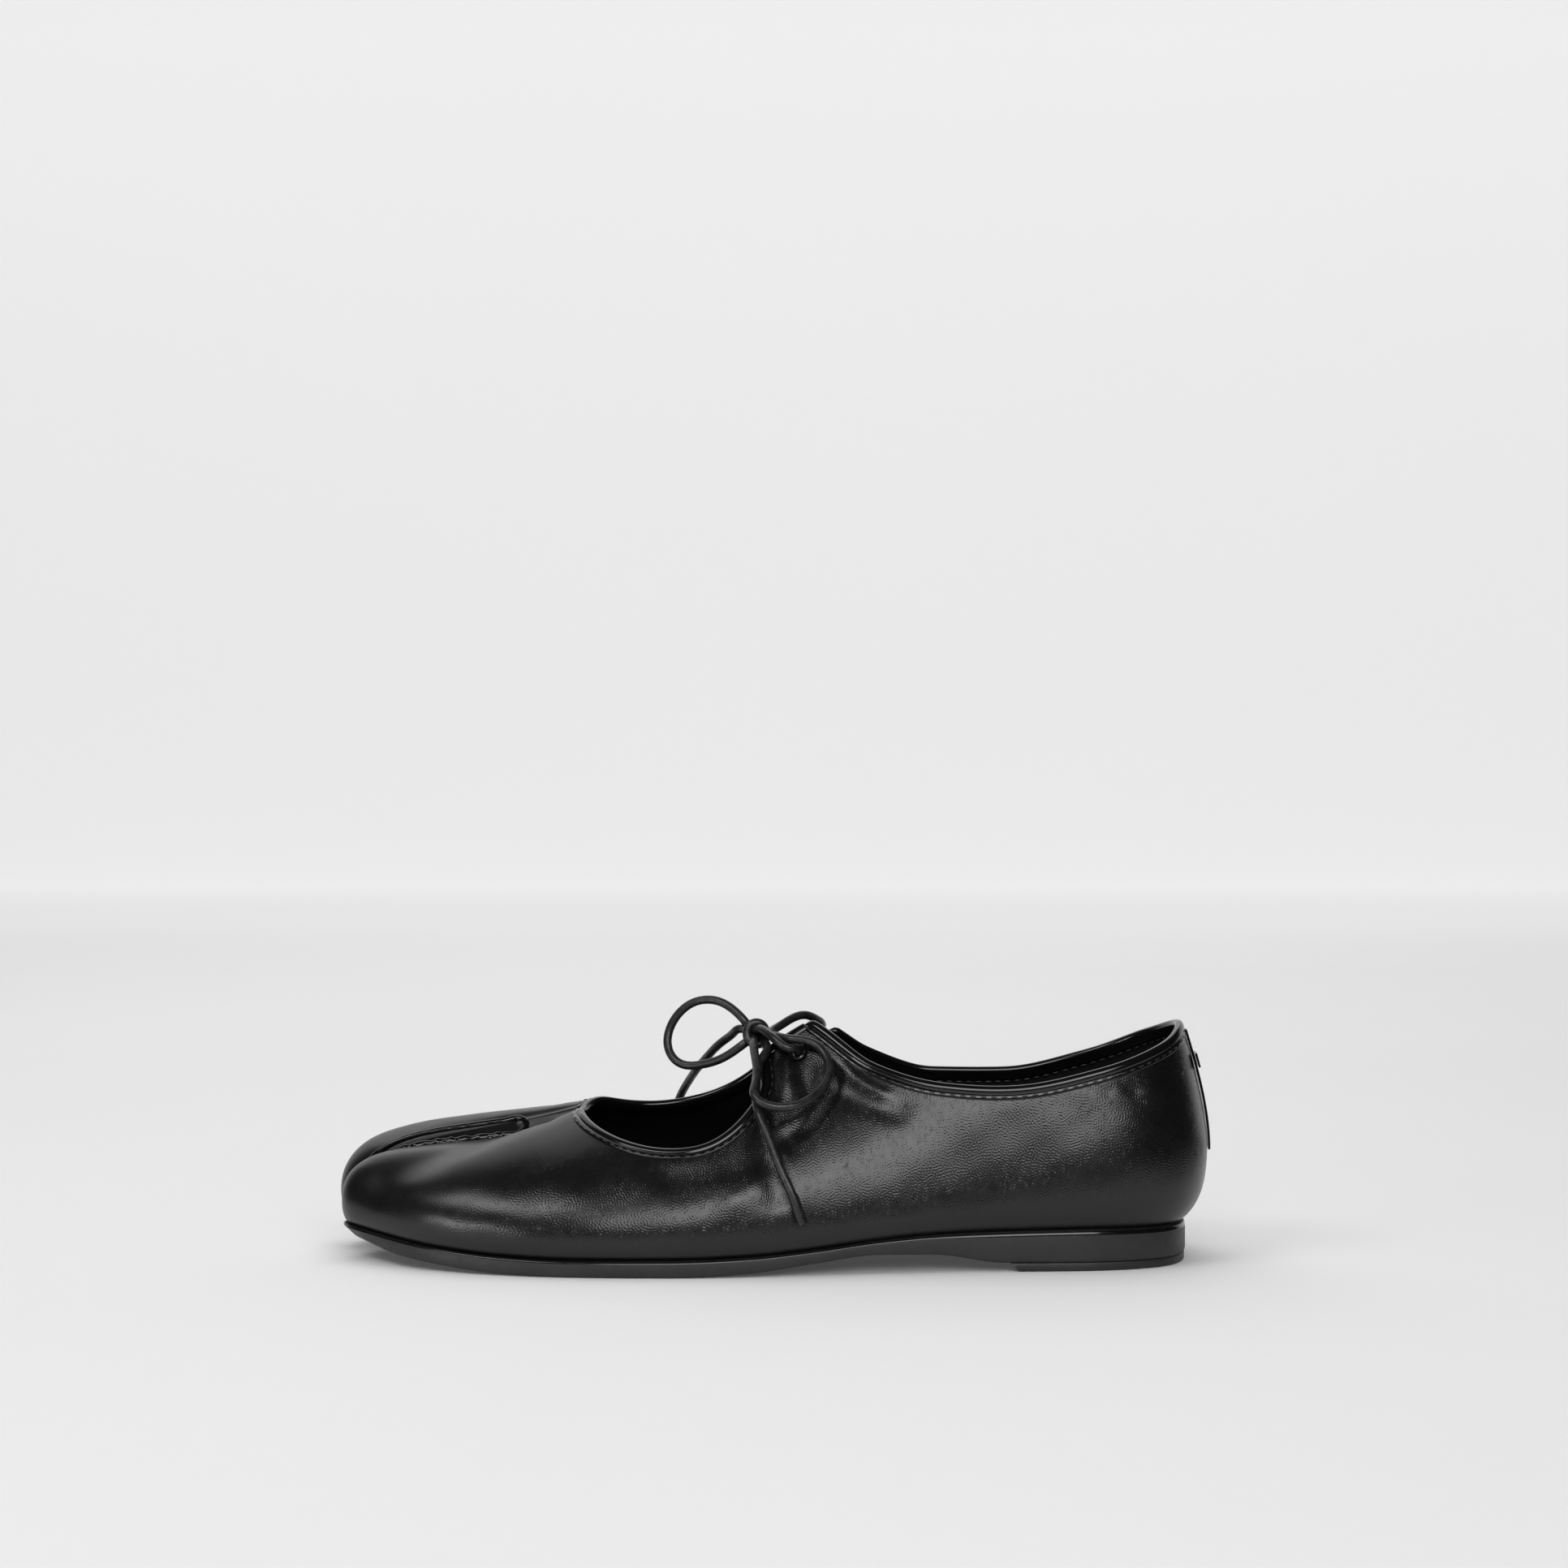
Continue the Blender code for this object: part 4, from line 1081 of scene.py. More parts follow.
@dataclass
class Upper:
    """The leather upper, hollow, with its creases, and the folded ends of the tabs."""

    last: Last
    finishes: Finishes
    column_step: float = 1.35
    column_room: float = 0.4
    rows_below: int = 14
    rows_above: int = 62
    cleft_columns: int = 8
    cleft_mark: float = -1.0
    cut_past: float = 0.004
    vamp_reach: float = 9.0
    vamp_lowest: float = 25.0
    vamp_passes: int = 14
    tab_run: float = 14.0
    crease_edge: float = 6.0
    crease_step: float = 0.8
    plain_rim: float = 26.0
    toe_grain: Ramp = Ramp(-100.0, 45.0, 0.35)
    sole_grain: Ramp = Ramp(0.06, 0.16, 0.25)
    plain_top: Ramp = Ramp(28.0, 10.0)
    plain_top_end: Ramp = Ramp(-62.0, 25.0)
    plain_top_share: float = 0.65
    eyelet_places: tuple[tuple[Side, float, float], ...] = (
        (Side.LATERAL, 6.23, 59.8),
        (Side.MEDIAL, 5.95, 57.4),
    )
    hole_radius: float = 1.95
    hole_cut: float = 0.85
    fold_step: float = 0.9
    fold_samples: int = 60
    fold_profile: Pairs = (
        (0.75, -2.6), (1.05, -2.2), (1.1, -1.0), (1.0, 0.1), (0.6, 0.6), (0.0, 0.75),
        (-0.6, 0.6), (-1.0, 0.1), (-1.05, -1.2), (-0.75, -1.8), (-0.2, -1.2), (0.2, -1.2),
    )

    def columns(self) -> Array:
        """The sheet's columns, with one at each corner of the tabs.

        Returns:
            Their places along the girth.
        """
        end = self.last.girth[-1]
        even = np.linspace(0, end, int(end / self.column_step) + 1)
        fixed = []
        for side in Side:
            fixed += [*self.last.tab_front(side), *self.last.tab_nodes[side][0]]
        near = np.min(np.abs(even[:, None] - np.array(fixed)[None]), axis=1)
        return np.unique(np.round(np.concatenate([even[near > self.column_room], fixed]), 5))

    def sheet_top(self, girth: Array) -> Array:
        """Where the sheet ends before the throat is cut: it falls slowly in front of the tabs.

        Args:
            girth: Places along the girth.

        Returns:
            The share of each rib.
        """
        share = self.last.top_share(girth)
        for side in Side:
            corner, foot = self.last.tab_front(side)
            towards = 1 if foot > corner else -1
            far = corner + towards * self.tab_run
            ends = self.last.top_share(np.array([corner, far]))
            t = (girth - corner) / (far - corner)
            run = (t > 0) & (t < 1)
            share[run] = np.maximum(share[run], ends[0] + (ends[1] - ends[0]) * t[run])
        return share

    def crease_depth(self, points: Array) -> Array:
        """How far the creases and swells press the leather in.

        Args:
            points: Points of its face.

        Returns:
            A depth for each point.
        """
        depth = np.zeros(len(points))
        for crease in CREASES:
            flat = points[:, list(crease.plane.value)]
            run = even_run(np.array(crease.points), self.crease_step)
            distance = np.sqrt(((flat[:, None] - run[None]) ** 2).sum(2)).min(1)
            press = crease.depth * np.exp(-((distance / crease.width) ** 2))
            if crease.side is Side.LATERAL:
                press = np.where(points[:, 1] < 0, press, 0)
            if crease.side is Side.MEDIAL:
                press = np.where(points[:, 1] > 0, press, 0)
            depth += press
        for swell in SWELLS:
            along = points @ unit(np.array(swell.direction))
            depth += swell.height * np.sin(along * 2 * math.pi / swell.length + swell.phase)
        return depth

    def grain(self, points: Array, rise: Array) -> Array:
        """How strong the grain is: faint on the toe's top and by the sole, full on the sides.

        Args:
            points: Points of the leather's face.
            rise: How far up its column each point lies, from 0 to 1.

        Returns:
            A strength for each point.
        """
        x, z = points[:, 0], points[:, 2]
        top = 1 - self.plain_top_share * self.plain_top.at(z) * (1 - self.plain_top_end.at(x))
        return self.toe_grain.at(x) * self.sole_grain.at(rise) * top

    def build(self) -> None:
        """Build the upper and the folds at the ends of its tabs."""
        last = self.last
        girth = self.columns()
        top = self.sheet_top(girth)
        lower, upper = last.lower_ribs(girth), last.upper_ribs(girth)
        rows = [bezier(lower, t) for t in np.linspace(0, 1, self.rows_below + 1)]
        rows += [bezier(upper, t * top) for t in np.linspace(0, 1, self.rows_above + 1)[1:]]
        grid = np.stack(rows, axis=1)
        total = grid.shape[1]
        rise = np.clip((np.arange(total) - self.rows_below) / self.rows_above, 0, 1)
        share = np.outer(top, rise)
        edge_share = last.top_share(girth)[:, None]
        edge_room = (edge_share - share) * np.linalg.norm(upper[3] - upper[0], axis=1)[:, None]
        from_sole = grid[:, :, 2] - grid[:, :1, 2]
        fade = smooth_step(edge_room / self.crease_edge) * smooth_step(from_sole / self.crease_edge)
        rim_room = np.minimum(girth, last.girth[-1] - girth)[:, None]
        fade = fade * smooth_step(rim_room / self.crease_edge)
        across = np.gradient(grid, axis=0)
        along = np.gradient(grid, axis=1)
        normal = np.cross(across, along)
        normal /= np.maximum(np.linalg.norm(normal, axis=2, keepdims=True), SMALLEST)
        flat = grid.reshape(-1, 3)
        press = self.crease_depth(flat).reshape(grid.shape[:2]) * fade
        grain = self.grain(flat, np.repeat(np.arange(total)[None] / total, len(girth), 0).ravel())
        grain = grain.reshape(grid.shape[:2]) * smooth_step(rim_room / self.plain_rim)
        grid = grid - normal * press[..., None]
        for column, sign in ((0, -1), (-1, 1)):
            grid[column, :, 1] = last.cleft_middle_y + sign * last.rim_half_gap(grid[column, :, 0])
        medial = last.cleft_walls(grid[-1], 1, self.cleft_columns)
        lateral = last.cleft_walls(grid[0], -1, self.cleft_columns)
        points = np.concatenate([grid, medial, lateral[::-1], grid[:1]])
        walls = 2 * self.cleft_columns + 1
        grain = np.concatenate([grain, np.zeros((walls, total))])
        over = np.concatenate([share - edge_share, np.full((walls, total), self.cleft_mark)])
        self.link(points, grain, over)
        for side in Side:
            self.fold_tab_end(side)

    def link(self, points: Array, grain: Array, over: Array) -> None:
        """Make the upper's mesh.

        Args:
            points: The grid of its outer face.
            grain: The strength of the grain at each point.
            over: How far each point lies past the leather's edge.
        """
        columns, rows = points.shape[:2]
        bm = bmesh.new()
        strength = bm.verts.layers.float.new("grain")
        past = bm.verts.layers.float.new("past_edge")
        skin = bm.verts.layers.float_vector.new("skin")
        made = bmesh.ops.create_grid(bm, x_segments=columns - 1, y_segments=rows - 1, size=1)
        places = points.transpose(1, 0, 2).reshape(-1, 3) * MM
        laid = self.laid_flat(points).transpose(1, 0, 2).reshape(-1, 3) * MM
        for vertex, place, spread, amount, beyond in zip(
            made["verts"], places, laid, grain.T.ravel(), over.T.ravel()
        ):
            vertex.co = place
            vertex[skin] = spread
            vertex[strength] = amount
            vertex[past] = beyond
        # Wall faces ahead of the cleft's rear end take the third finish, a dull near-black painted shade for
        # the deep slot.
        rear = self.last.cleft_rear_x * MM
        for face in bm.faces:
            walled = max(vertex[past] for vertex in face.verts) == self.cleft_mark
            face.material_index = 2 if walled and face.calc_center_median().x < rear else 0
        cut = []
        for face in bm.faces:
            if sum(vertex[past] for vertex in face.verts) > self.cut_past * len(face.verts):
                cut.append(face)
        bmesh.ops.delete(bm, geom=cut, context="FACES")
        bmesh.ops.remove_doubles(bm, verts=bm.verts, dist=JOIN_M)
        self.smooth_vamp(bm)
        for place in self.eyelet_places:
            self.cut_hole(bm, *self.eyelet(place))
        bm.verts.layers.float.remove(bm.verts.layers.float["past_edge"])
        bmesh.ops.recalc_face_normals(bm, faces=bm.faces)
        leather = [self.finishes.leather, self.finishes.lining, self.finishes.cleft]
        item = Bench.mesh("upper_leather", bm, leather, Slot.LEATHER, ["upper"], sharp=80)
        wall = item.modifiers.new("wall", "SOLIDIFY")
        wall.thickness = self.last.wall * MM
        wall.offset = -1
        wall.use_even_offset = True
        wall.use_quality_normals = True
        wall.thickness_clamp = 1.5
        wall.material_offset = 1

    def laid_flat(self, points: Array) -> Array:
        """The grid spread out flat, by lengths along its middle row and up its columns.

        Args:
            points: The grid of the outer face.

        Returns:
            A flat place for each point, in the same order.
        """
        across = run_length(points[:, self.rows_below + self.rows_above // 2])
        up = np.stack([run_length(column) for column in points])
        return np.stack([np.broadcast_to(across[:, None], up.shape), up, np.zeros(up.shape)], axis=2)

    def smooth_vamp(self, bm: Mesh) -> None:
        """Ease the leather where the two sides meet behind the cleft.

        Args:
            bm: The upper's mesh.
        """
        middle = Vector((self.last.cleft_rear_x + self.vamp_reach, self.last.cleft_middle_y, 0)) * MM
        near = []
        for vertex in bm.verts:
            away = vertex.co - middle
            if max(abs(away.x), abs(away.y)) < self.vamp_reach * MM and not vertex.is_boundary:
                near.append(vertex)
        near = [vertex for vertex in near if vertex.co.z > self.vamp_lowest * MM]
        axes = {f"use_axis_{axis}": True for axis in "xyz"}
        for _ in range(self.vamp_passes):
            bmesh.ops.smooth_vert(bm, verts=near, factor=0.5, **axes)

    def eyelet(self, place: tuple[Side, float, float]) -> tuple[Array, Array]:
        """Where an eyelet sits.

        Args:
            place: Its side, section number and height.

        Returns:
            Its centre and outward direction.
        """
        side, section, height = place
        girth = np.array([self.last.girth_of(section, side)])
        share = self.last.share_at_height(girth, height)
        return self.last.surface(girth, share)[0], self.last.normal(girth, share)[0]

    def cut_hole(self, bm: Mesh, centre: Array, normal: Array) -> None:
        """Open the leather for an eyelet, with a round edge.

        Args:
            bm: The upper's mesh.
            centre: The eyelet's centre.
            normal: Its outward direction.
        """
        middle, out = Vector(centre * MM), Vector(normal)
        radius = self.hole_radius * MM
        reach = self.hole_cut * radius
        near = [face for face in bm.faces if (face.calc_center_median() - middle).length < reach]
        bmesh.ops.delete(bm, geom=near, context="FACES")
        for vertex in bm.verts:
            away = vertex.co - middle
            flat = away - out * away.dot(out)
            if away.length < 2 * radius and flat.length < radius:
                vertex.co += flat.normalized() * (radius - flat.length)

    def fold_tab_end(self, side: Side) -> None:
        """Make the turned-in edge at the end of a tab.

        Args:
            side: The tab's side.
        """
        at = self.last.tab_nodes[side][0]
        girth = np.linspace(at[0], at[-1], self.fold_samples)
        edge = EdgeRun.along(self.last, girth, self.fold_step)
        bm = swept(edge.path, edge.out, edge.away, rounded(self.fold_profile))
        Bench.mesh(f"tab_fold_{side.name.lower()}", bm, [self.finishes.trim], Slot.LEATHER)


@dataclass
class EdgeRun:
    """An even run along an edge of the leather, at the middle of its wall."""

    path: Array
    out: Array
    away: Array

    @classmethod
    def along(cls, last: Last, girth: Array, step: float, smoothing: int = 0) -> "EdgeRun":
        """A run along the edge.

        Args:
            last: The shoe's form.
            girth: Places along the girth, in order.
            step: Distance between the run's points.
            smoothing: How many times the run's corners are eased.

        Returns:
            The run, with its directions out of the leather's face and away from its edge.
        """
        share = last.top_share(girth)
        rows = np.concatenate([last.surface(girth, share), last.normal(girth, share)], axis=1)
        rows = spread(rows, int(run_length(rows[:, :3])[-1] / step) + 1)
        for _ in range(smoothing):
            rows[1:-1] = (rows[:-2] + 2 * rows[1:-1] + rows[2:]) / 4
        edge, out = rows[:, :3], unit(rows[:, 3:])
        along = unit(np.gradient(edge, axis=0))
        away = unit(np.cross(out, along))
        just_below = 0.97
        below = last.surface(girth[:1], share[:1] * just_below)[0] - edge[0]
        if np.dot(below, away[0]) > 0:
            away = -away
        out = unit(out - along * np.sum(out * along, axis=1)[:, None])
        return cls(edge - out * last.wall / 2, out, away)

    def beside(self, out: float, away: float) -> Array:
        """The run moved by distances along its two directions."""
        return self.path + self.out * out + self.away * away


# Stitches and bindings


@dataclass
class Stitching:
    """Rows of single stitches, each a short rounded bar of thread."""

    finishes: Finishes
    length: float = 2.0
    gap: float = 0.9
    width: float = 0.5
    height: float = 0.42

    def row(self, name: str, runs: Sequence[tuple[Array, Array]]) -> None:
        """Sew rows of stitches as one piece.

        Args:
            name: The piece's name.
            runs: For each row its points, and the outward direction at each.
        """
        bm = bmesh.new()
        for points, out in runs:
            length = run_length(points)
            places = np.arange(self.gap, length[-1] - self.length, self.length + self.gap)
            for start in places:
                ends = np.array([start, start + self.length])
                a, b = (np.array([np.interp(end, length, points[:, k]) for k in range(3)]) for end in ends)
                up = np.array([np.interp(ends.mean(), length, out[:, k]) for k in range(3)])
                self.stitch(bm, a, b, up)
        Bench.mesh(name, bm, [self.finishes.thread], Slot.LEATHER)

    def stitch(self, bm: Mesh, start: Array, end: Array, up: Array) -> None:
        """Add one stitch.

        Args:
            bm: The mesh to add it to.
            start: Its first end.
            end: Its other end.
            up: The outward direction at its middle.
        """
        along = unit(end - start)
        across = unit(np.cross(up, along))
        rise = np.cross(along, across)
        half = np.linalg.norm(end - start) / 2
        turn = Matrix((along, across, rise)).transposed().to_4x4()
        size = Matrix.Diagonal((half * MM, self.width / 2 * MM, self.height / 2 * MM, 1))
        place = Matrix.Translation(Vector((start + end) / 2 * MM))
        bmesh.ops.create_uvsphere(bm, u_segments=6, v_segments=5, radius=1, matrix=place @ turn @ size)


@dataclass
class Bindings:
    """Folded leather bindings: a rolled bead on the edge and a narrow sewn lip under it."""

    last: Last
    finishes: Finishes
    stitching: Stitching
    step: float = 1.1
    end_dome: float = 2.6
    end_least: float = 0.25
    collar_samples: int = 700
    throat_samples: int = 300
    corner_samples: int = 60
    collar_easing: int = 4
    throat_easing: int = 10
    profile: Pairs = (
        (0.80, -1.5), (1.12, -1.4), (1.22, -0.7), (1.12, -0.05), (0.92, 0.2), (1.24, 0.55), (1.38, 1.3),
        (1.18, 2.1), (0.70, 2.62), (0.0, 2.8), (-0.70, 2.62), (-1.15, 2.1), (-1.3, 1.3), (-1.2, 0.2),
        (-1.1, -0.8), (-0.8, -1.2), (-0.2, -0.8), (0.2, -1.2),
    )
    collar_stitch: tuple[float, float] = (1.22, -0.65)
    throat_stitch: tuple[float, float] = (1.2, -1.0)
    lining_stitch: tuple[float, float] = (-0.9, -1.6)

    def build(self) -> None:
        """Bind the collar and the throat, and sew both."""
        at = self.last.collar_at
        girth = np.linspace(at[0], at[-1], self.collar_samples)
        collar = EdgeRun.along(self.last, girth, self.step, self.collar_easing)
        self.bind("collar_edge", collar, "collar_binding")
        sides = []
        for side, end in ((Side.LATERAL, 0), (Side.MEDIAL, self.last.girth[-1])):
            corner, foot = self.last.tab_front(side)
            front = np.linspace(corner, foot, self.corner_samples)
            sides.append(np.concatenate([front, np.linspace(foot, end, self.throat_samples)[1:]]))
        girth = np.concatenate([sides[0], sides[1][::-1]])
        throat = EdgeRun.along(self.last, girth, self.step, self.throat_easing)
        self.bind("throat_edge", throat, "throat_binding")
        self.stitching.row("collar_stitches", [(collar.beside(*self.collar_stitch), collar.out)])
        self.stitching.row("throat_stitches", [(throat.beside(*self.throat_stitch), throat.out)])
        self.stitching.row("lining_stitches", [(collar.beside(*self.lining_stitch), -collar.out)])

    def bind(self, name: str, edge: EdgeRun, node: str) -> None:
        """Carry the folded profile along an edge, with domed ends.

        Args:
            name: The piece's name.
            edge: The edge.
            node: The solid that it stands for.
        """
        profile = rounded(self.profile)
        length = run_length(edge.path)
        from_end = np.clip(np.minimum(length, length[-1] - length) / self.end_dome, 0, 1)
        dome = np.sqrt(1 - (1 - from_end) ** 2).clip(self.end_least)[:, None]
        bm = swept(edge.path, edge.out, edge.away, profile, np.repeat(dome, len(profile), axis=1))
        Bench.mesh(name, bm, [self.finishes.trim], Slot.LEATHER, [node])


# The rim of the toe's split


@dataclass
class ToeSplit:
    """The folded rim of the cleft: a smooth roll on the inner lobe that is gathered on the outer one."""

    last: Last
    finishes: Finishes
    from_rim: float = 0.9
    rise: float = 0.35
    lowest_share: float = 0.03
    turn: float = 2.2
    turn_rise: float = 0.25
    step: float = 0.3
    samples: int = 300
    sample_step: int = 12
    fine_samples: int = 1200
    pucker: float = 4.4
    sway: tuple[float, float] = (1.2, 0.4)
    second_fold: tuple[float, float] = (0.4, 1.7)
    gather: tuple[float, float] = (0.12, 0.015)
    calm_run: float = 7.0
    roll: tuple[float, float] = (0.85, 0.95)
    roll_points: int = 20
    outer_growth: float = 0.6
    side_blend: float = 2.0

    def line(self) -> tuple[Array, Array]:
        """A run up the outer rim, round the cleft's rear end and down the inner rim.

        Returns:
            The run's points, and the outward direction at each.
        """
        runs = []
        for girth in (self.from_rim, self.last.girth[-1] - self.from_rim):
            share = np.linspace(self.lowest_share, 1, self.samples)
            place = np.full(len(share), girth)
            points, out = self.last.surface(place, share), self.last.normal(place, share)
            ahead = points[:, 0] < self.last.cleft_rear_x
            runs.append(np.concatenate([points + out * self.rise, out], axis=1)[ahead])
        lateral, medial = runs
        behind = (lateral[-1] + medial[-1]) / 2
        behind[:3] += self.turn, 0, self.turn_rise * self.turn
        up, down = lateral[:: self.sample_step], medial[:: -self.sample_step]
        rows = np.concatenate([up, lateral[-1:], behind[None], medial[-1:], down])
        apart = np.linalg.norm(np.diff(rows[:, :3], axis=0), axis=1) > self.step
        rows = rows[np.concatenate([[True], apart])]
        at = run_length(rows[:, :3])
        fine = hermite(at, rows, spline_slopes(at, rows), np.linspace(0, at[-1], self.fine_samples))
        fine = spread(fine, int(run_length(fine[:, :3])[-1] / self.step) + 1)
        return fine[:, :3], unit(fine[:, 3:])

    def build(self) -> None:
        """Carry a low oval round the rim, with slanting folds where it is gathered."""
        path, out = self.line()
        along = unit(np.gradient(path, axis=0))
        out = unit(out - along * np.sum(out * along, axis=1)[:, None])
        length = run_length(path)[:, None]
        inner = smooth_step((path[:, 1:2] - self.last.cleft_middle_y) / self.side_blend + 0.5)
        ahead = smooth_step((self.last.cleft_rear_x - path[:, :1]) / self.calm_run)
        amount = (self.gather[0] + (self.gather[1] - self.gather[0]) * inner) * ahead
        growth = self.outer_growth * (1 - inner) * ahead
        profile = ring(*self.roll, self.roll_points)
        turn = np.linspace(0, 2 * math.pi, len(profile), endpoint=False)
        phase = length * 2 * math.pi / self.pucker + self.sway[0] * np.sin(length * self.sway[1])
        folds = np.sin(phase + turn) + self.second_fold[0] * np.sin(self.second_fold[1] * phase - turn)
        swell = (1 + growth) * (1 + amount * folds)
        bm = swept(path, out, np.cross(along, out), profile, swell)
        Bench.mesh("toe_split_roll", bm, [self.finishes.trim], Slot.LEATHER, ["toe_split_welt"])


# The sole


@dataclass
class SoleUnit:
    """The outsole, the heel's top piece and the sock inside."""

    last: Last
    finishes: Finishes
    lip: float = 1.4
    toe_taper: float = 4.0
    taper_from: float = -104.0
    taper_run: float = 18.0
    edge_round: float = 0.6
    top_round: float = 0.7
    polished: tuple[float, float] = (0.1, 0.9)
    station_step: float = 3.0
    outline_step: float = 2.0
    notch_points: int = 9
    slab_thickness: float = 5.0
    round_segments: int = 3
    corner_angle: float = 1.0
    lift_front: float = 70.0
    lift_thickness: float = 2.42
    lift_round: float = 1.0
    lift_top_round: float = 0.1
    breast_slant: float = 2.4
    breast_reach: float = 1.0
    sock_clearance: float = 0.6
    sock_thickness: float = 2.0
    sock_rounds: tuple[float, float] = (0.3, 0.6)
    sharp: float = 40.0

    def outline(self, offset: float, notch_half: float, notch_x: float) -> Array:
        """The feather line moved outward, with the notch of the cleft, in plan.

        Args:
            offset: How far outward.
            notch_half: Half of the notch's width.
            notch_x: Where the notch ends.

        Returns:
            The outline's points.
        """
        last = self.last
        girth = np.linspace(0, last.girth[-1], int(last.girth[-1] / self.outline_step) + 1)
        line = last.feather(girth) - last.inward(girth) * offset
        beside = np.abs(line[:, 1] - last.cleft_middle_y) < notch_half + 2 * last.gap
        line = line[~(beside & (line[:, 0] < last.cleft_notch_x)), :2]
        angles = np.linspace(-math.pi / 2, math.pi / 2, self.notch_points)
        middle = last.cleft_middle_y
        notch = [(line[-1, 0] + notch_half, middle + notch_half)]
        notch += [(notch_x + notch_half * math.cos(a), middle - notch_half * math.sin(a)) for a in angles]
        notch += [(line[0, 0] + notch_half, middle - notch_half)]
        return np.concatenate([line, notch])

    def slab(self, outline: Array, heights: Callable[[float], tuple[float, float]], bottom_round: float,
             top_round: float) -> Mesh:
        """A slab bent to heights along the shoe.

        Args:
            outline: Its outline in plan.
            heights: Its top and bottom at x.
            bottom_round: Rounding of its lower edge.
            top_round: Rounding of its upper edge.

        Returns:
            A closed bmesh.
        """
        bm = bmesh.new()
        bm.faces.new([bm.verts.new((x * MM, y * MM, 0)) for x, y in outline])
        first, end = outline[:, 0].min() + self.station_step, outline[:, 0].max() - self.station_step
        for x in np.arange(first, end, self.station_step):
            everything = bm.verts[:] + bm.edges[:] + bm.faces[:]
            plane = {"plane_co": (x * MM, 0, 0), "plane_no": (1, 0, 0)}
            bmesh.ops.bisect_plane(bm, geom=everything, dist=CUT_M, **plane)
        for face in bm.faces:
            face.normal_update()
        bmesh.ops.reverse_faces(bm, faces=[face for face in bm.faces if face.normal.z > 0])
        thickness = self.slab_thickness * MM
        low_rim = [edge for edge in bm.edges if edge.is_boundary]
        extruded = bmesh.ops.extrude_face_region(bm, geom=bm.faces[:], use_keep_orig=True)
        top = [item for item in extruded["geom"] if isinstance(item, bmesh.types.BMVert)]
        bmesh.ops.translate(bm, verts=top, vec=(0, 0, thickness))
        bmesh.ops.recalc_face_normals(bm, faces=bm.faces)
        high = [edge for edge in bm.edges if min(v.co.z for v in edge.verts) > thickness / 2]
        high_rim = [edge for edge in high if edge.calc_face_angle(0) > self.corner_angle]
        for rim, size in ((low_rim, bottom_round), (high_rim, top_round)):
            bmesh.ops.bevel(
                bm, geom=rim, offset=size * MM, affect="EDGES", segments=self.round_segments, profile=0.5,
                material=-1,
            )
        for vertex in bm.verts:
            above, below = heights(vertex.co.x / MM)
            vertex.co.z = (below + (above - below) * vertex.co.z / thickness) * MM
        return bm

    def build(self) -> None:
        """Build the three pieces."""
        last = self.last
        outline = self.outline(self.lip, last.cleft_half_gap - last.gap, last.cleft_notch_x)
        bm = self.slab(outline, lambda x: tuple(last.sole_heights(x)[:, 0]), self.edge_round, self.top_round)
        for vertex in bm.verts:
            x = vertex.co.x / MM
            above, below = last.sole_heights(x)[:, 0]
            depth = (above - vertex.co.z / MM) / (above - below)
            taper = smooth_step((self.taper_from - x) / self.taper_run)
            vertex.co.x += self.toe_taper * MM * depth**2 * taper
        bm.normal_update()
        for face in bm.faces:
            face.material_index = int(self.polished[0] < face.normal.z < self.polished[1])
        rubber = [self.finishes.sole, self.finishes.trim]
        Bench.mesh("sole_unit", bm, rubber, Slot.SOLE, ["outsole"], self.sharp)
        self.build_lift()
        beside = last.wall + self.sock_clearance
        notch_x = last.cleft_notch_x + self.sock_thickness + last.wall + beside
        outline = self.outline(-beside, last.cleft_half_gap + beside, notch_x)
        bm = self.slab(outline, self.sock_heights, *self.sock_rounds)
        Bench.mesh("leather_sock", bm, [self.finishes.sock], Slot.SOCK, ["insole"], self.sharp)

    def sock_heights(self, x: float) -> tuple[float, float]:
        """Top and bottom of the sock at x."""
        bottom = self.last.sole_heights(x)[0, 0] + self.last.gap
        return bottom + self.sock_thickness, bottom

    def build_lift(self) -> None:
        """The top piece under the heel, whose front face slants forward as it rises."""
        outline = self.outline(self.lip - self.last.gap, self.last.cleft_half_gap, self.last.cleft_notch_x)
        heel = outline[outline[:, 0] > self.lift_front]
        corners = [(self.lift_front, y) for y in (heel[-1, 1], heel[0, 1])]
        outline = np.concatenate([heel, corners])
        bm = self.slab(outline, lambda x: (self.lift_thickness, 0.0), self.lift_round, self.lift_top_round)
        for vertex in bm.verts:
            if vertex.co.x < (self.lift_front + self.breast_reach) * MM:
                vertex.co.x -= self.breast_slant * vertex.co.z / self.lift_thickness
        Bench.mesh("heel_top_piece", bm, [self.finishes.sole], Slot.SOLE, ["heel_lift"], self.sharp)


# The heel strip


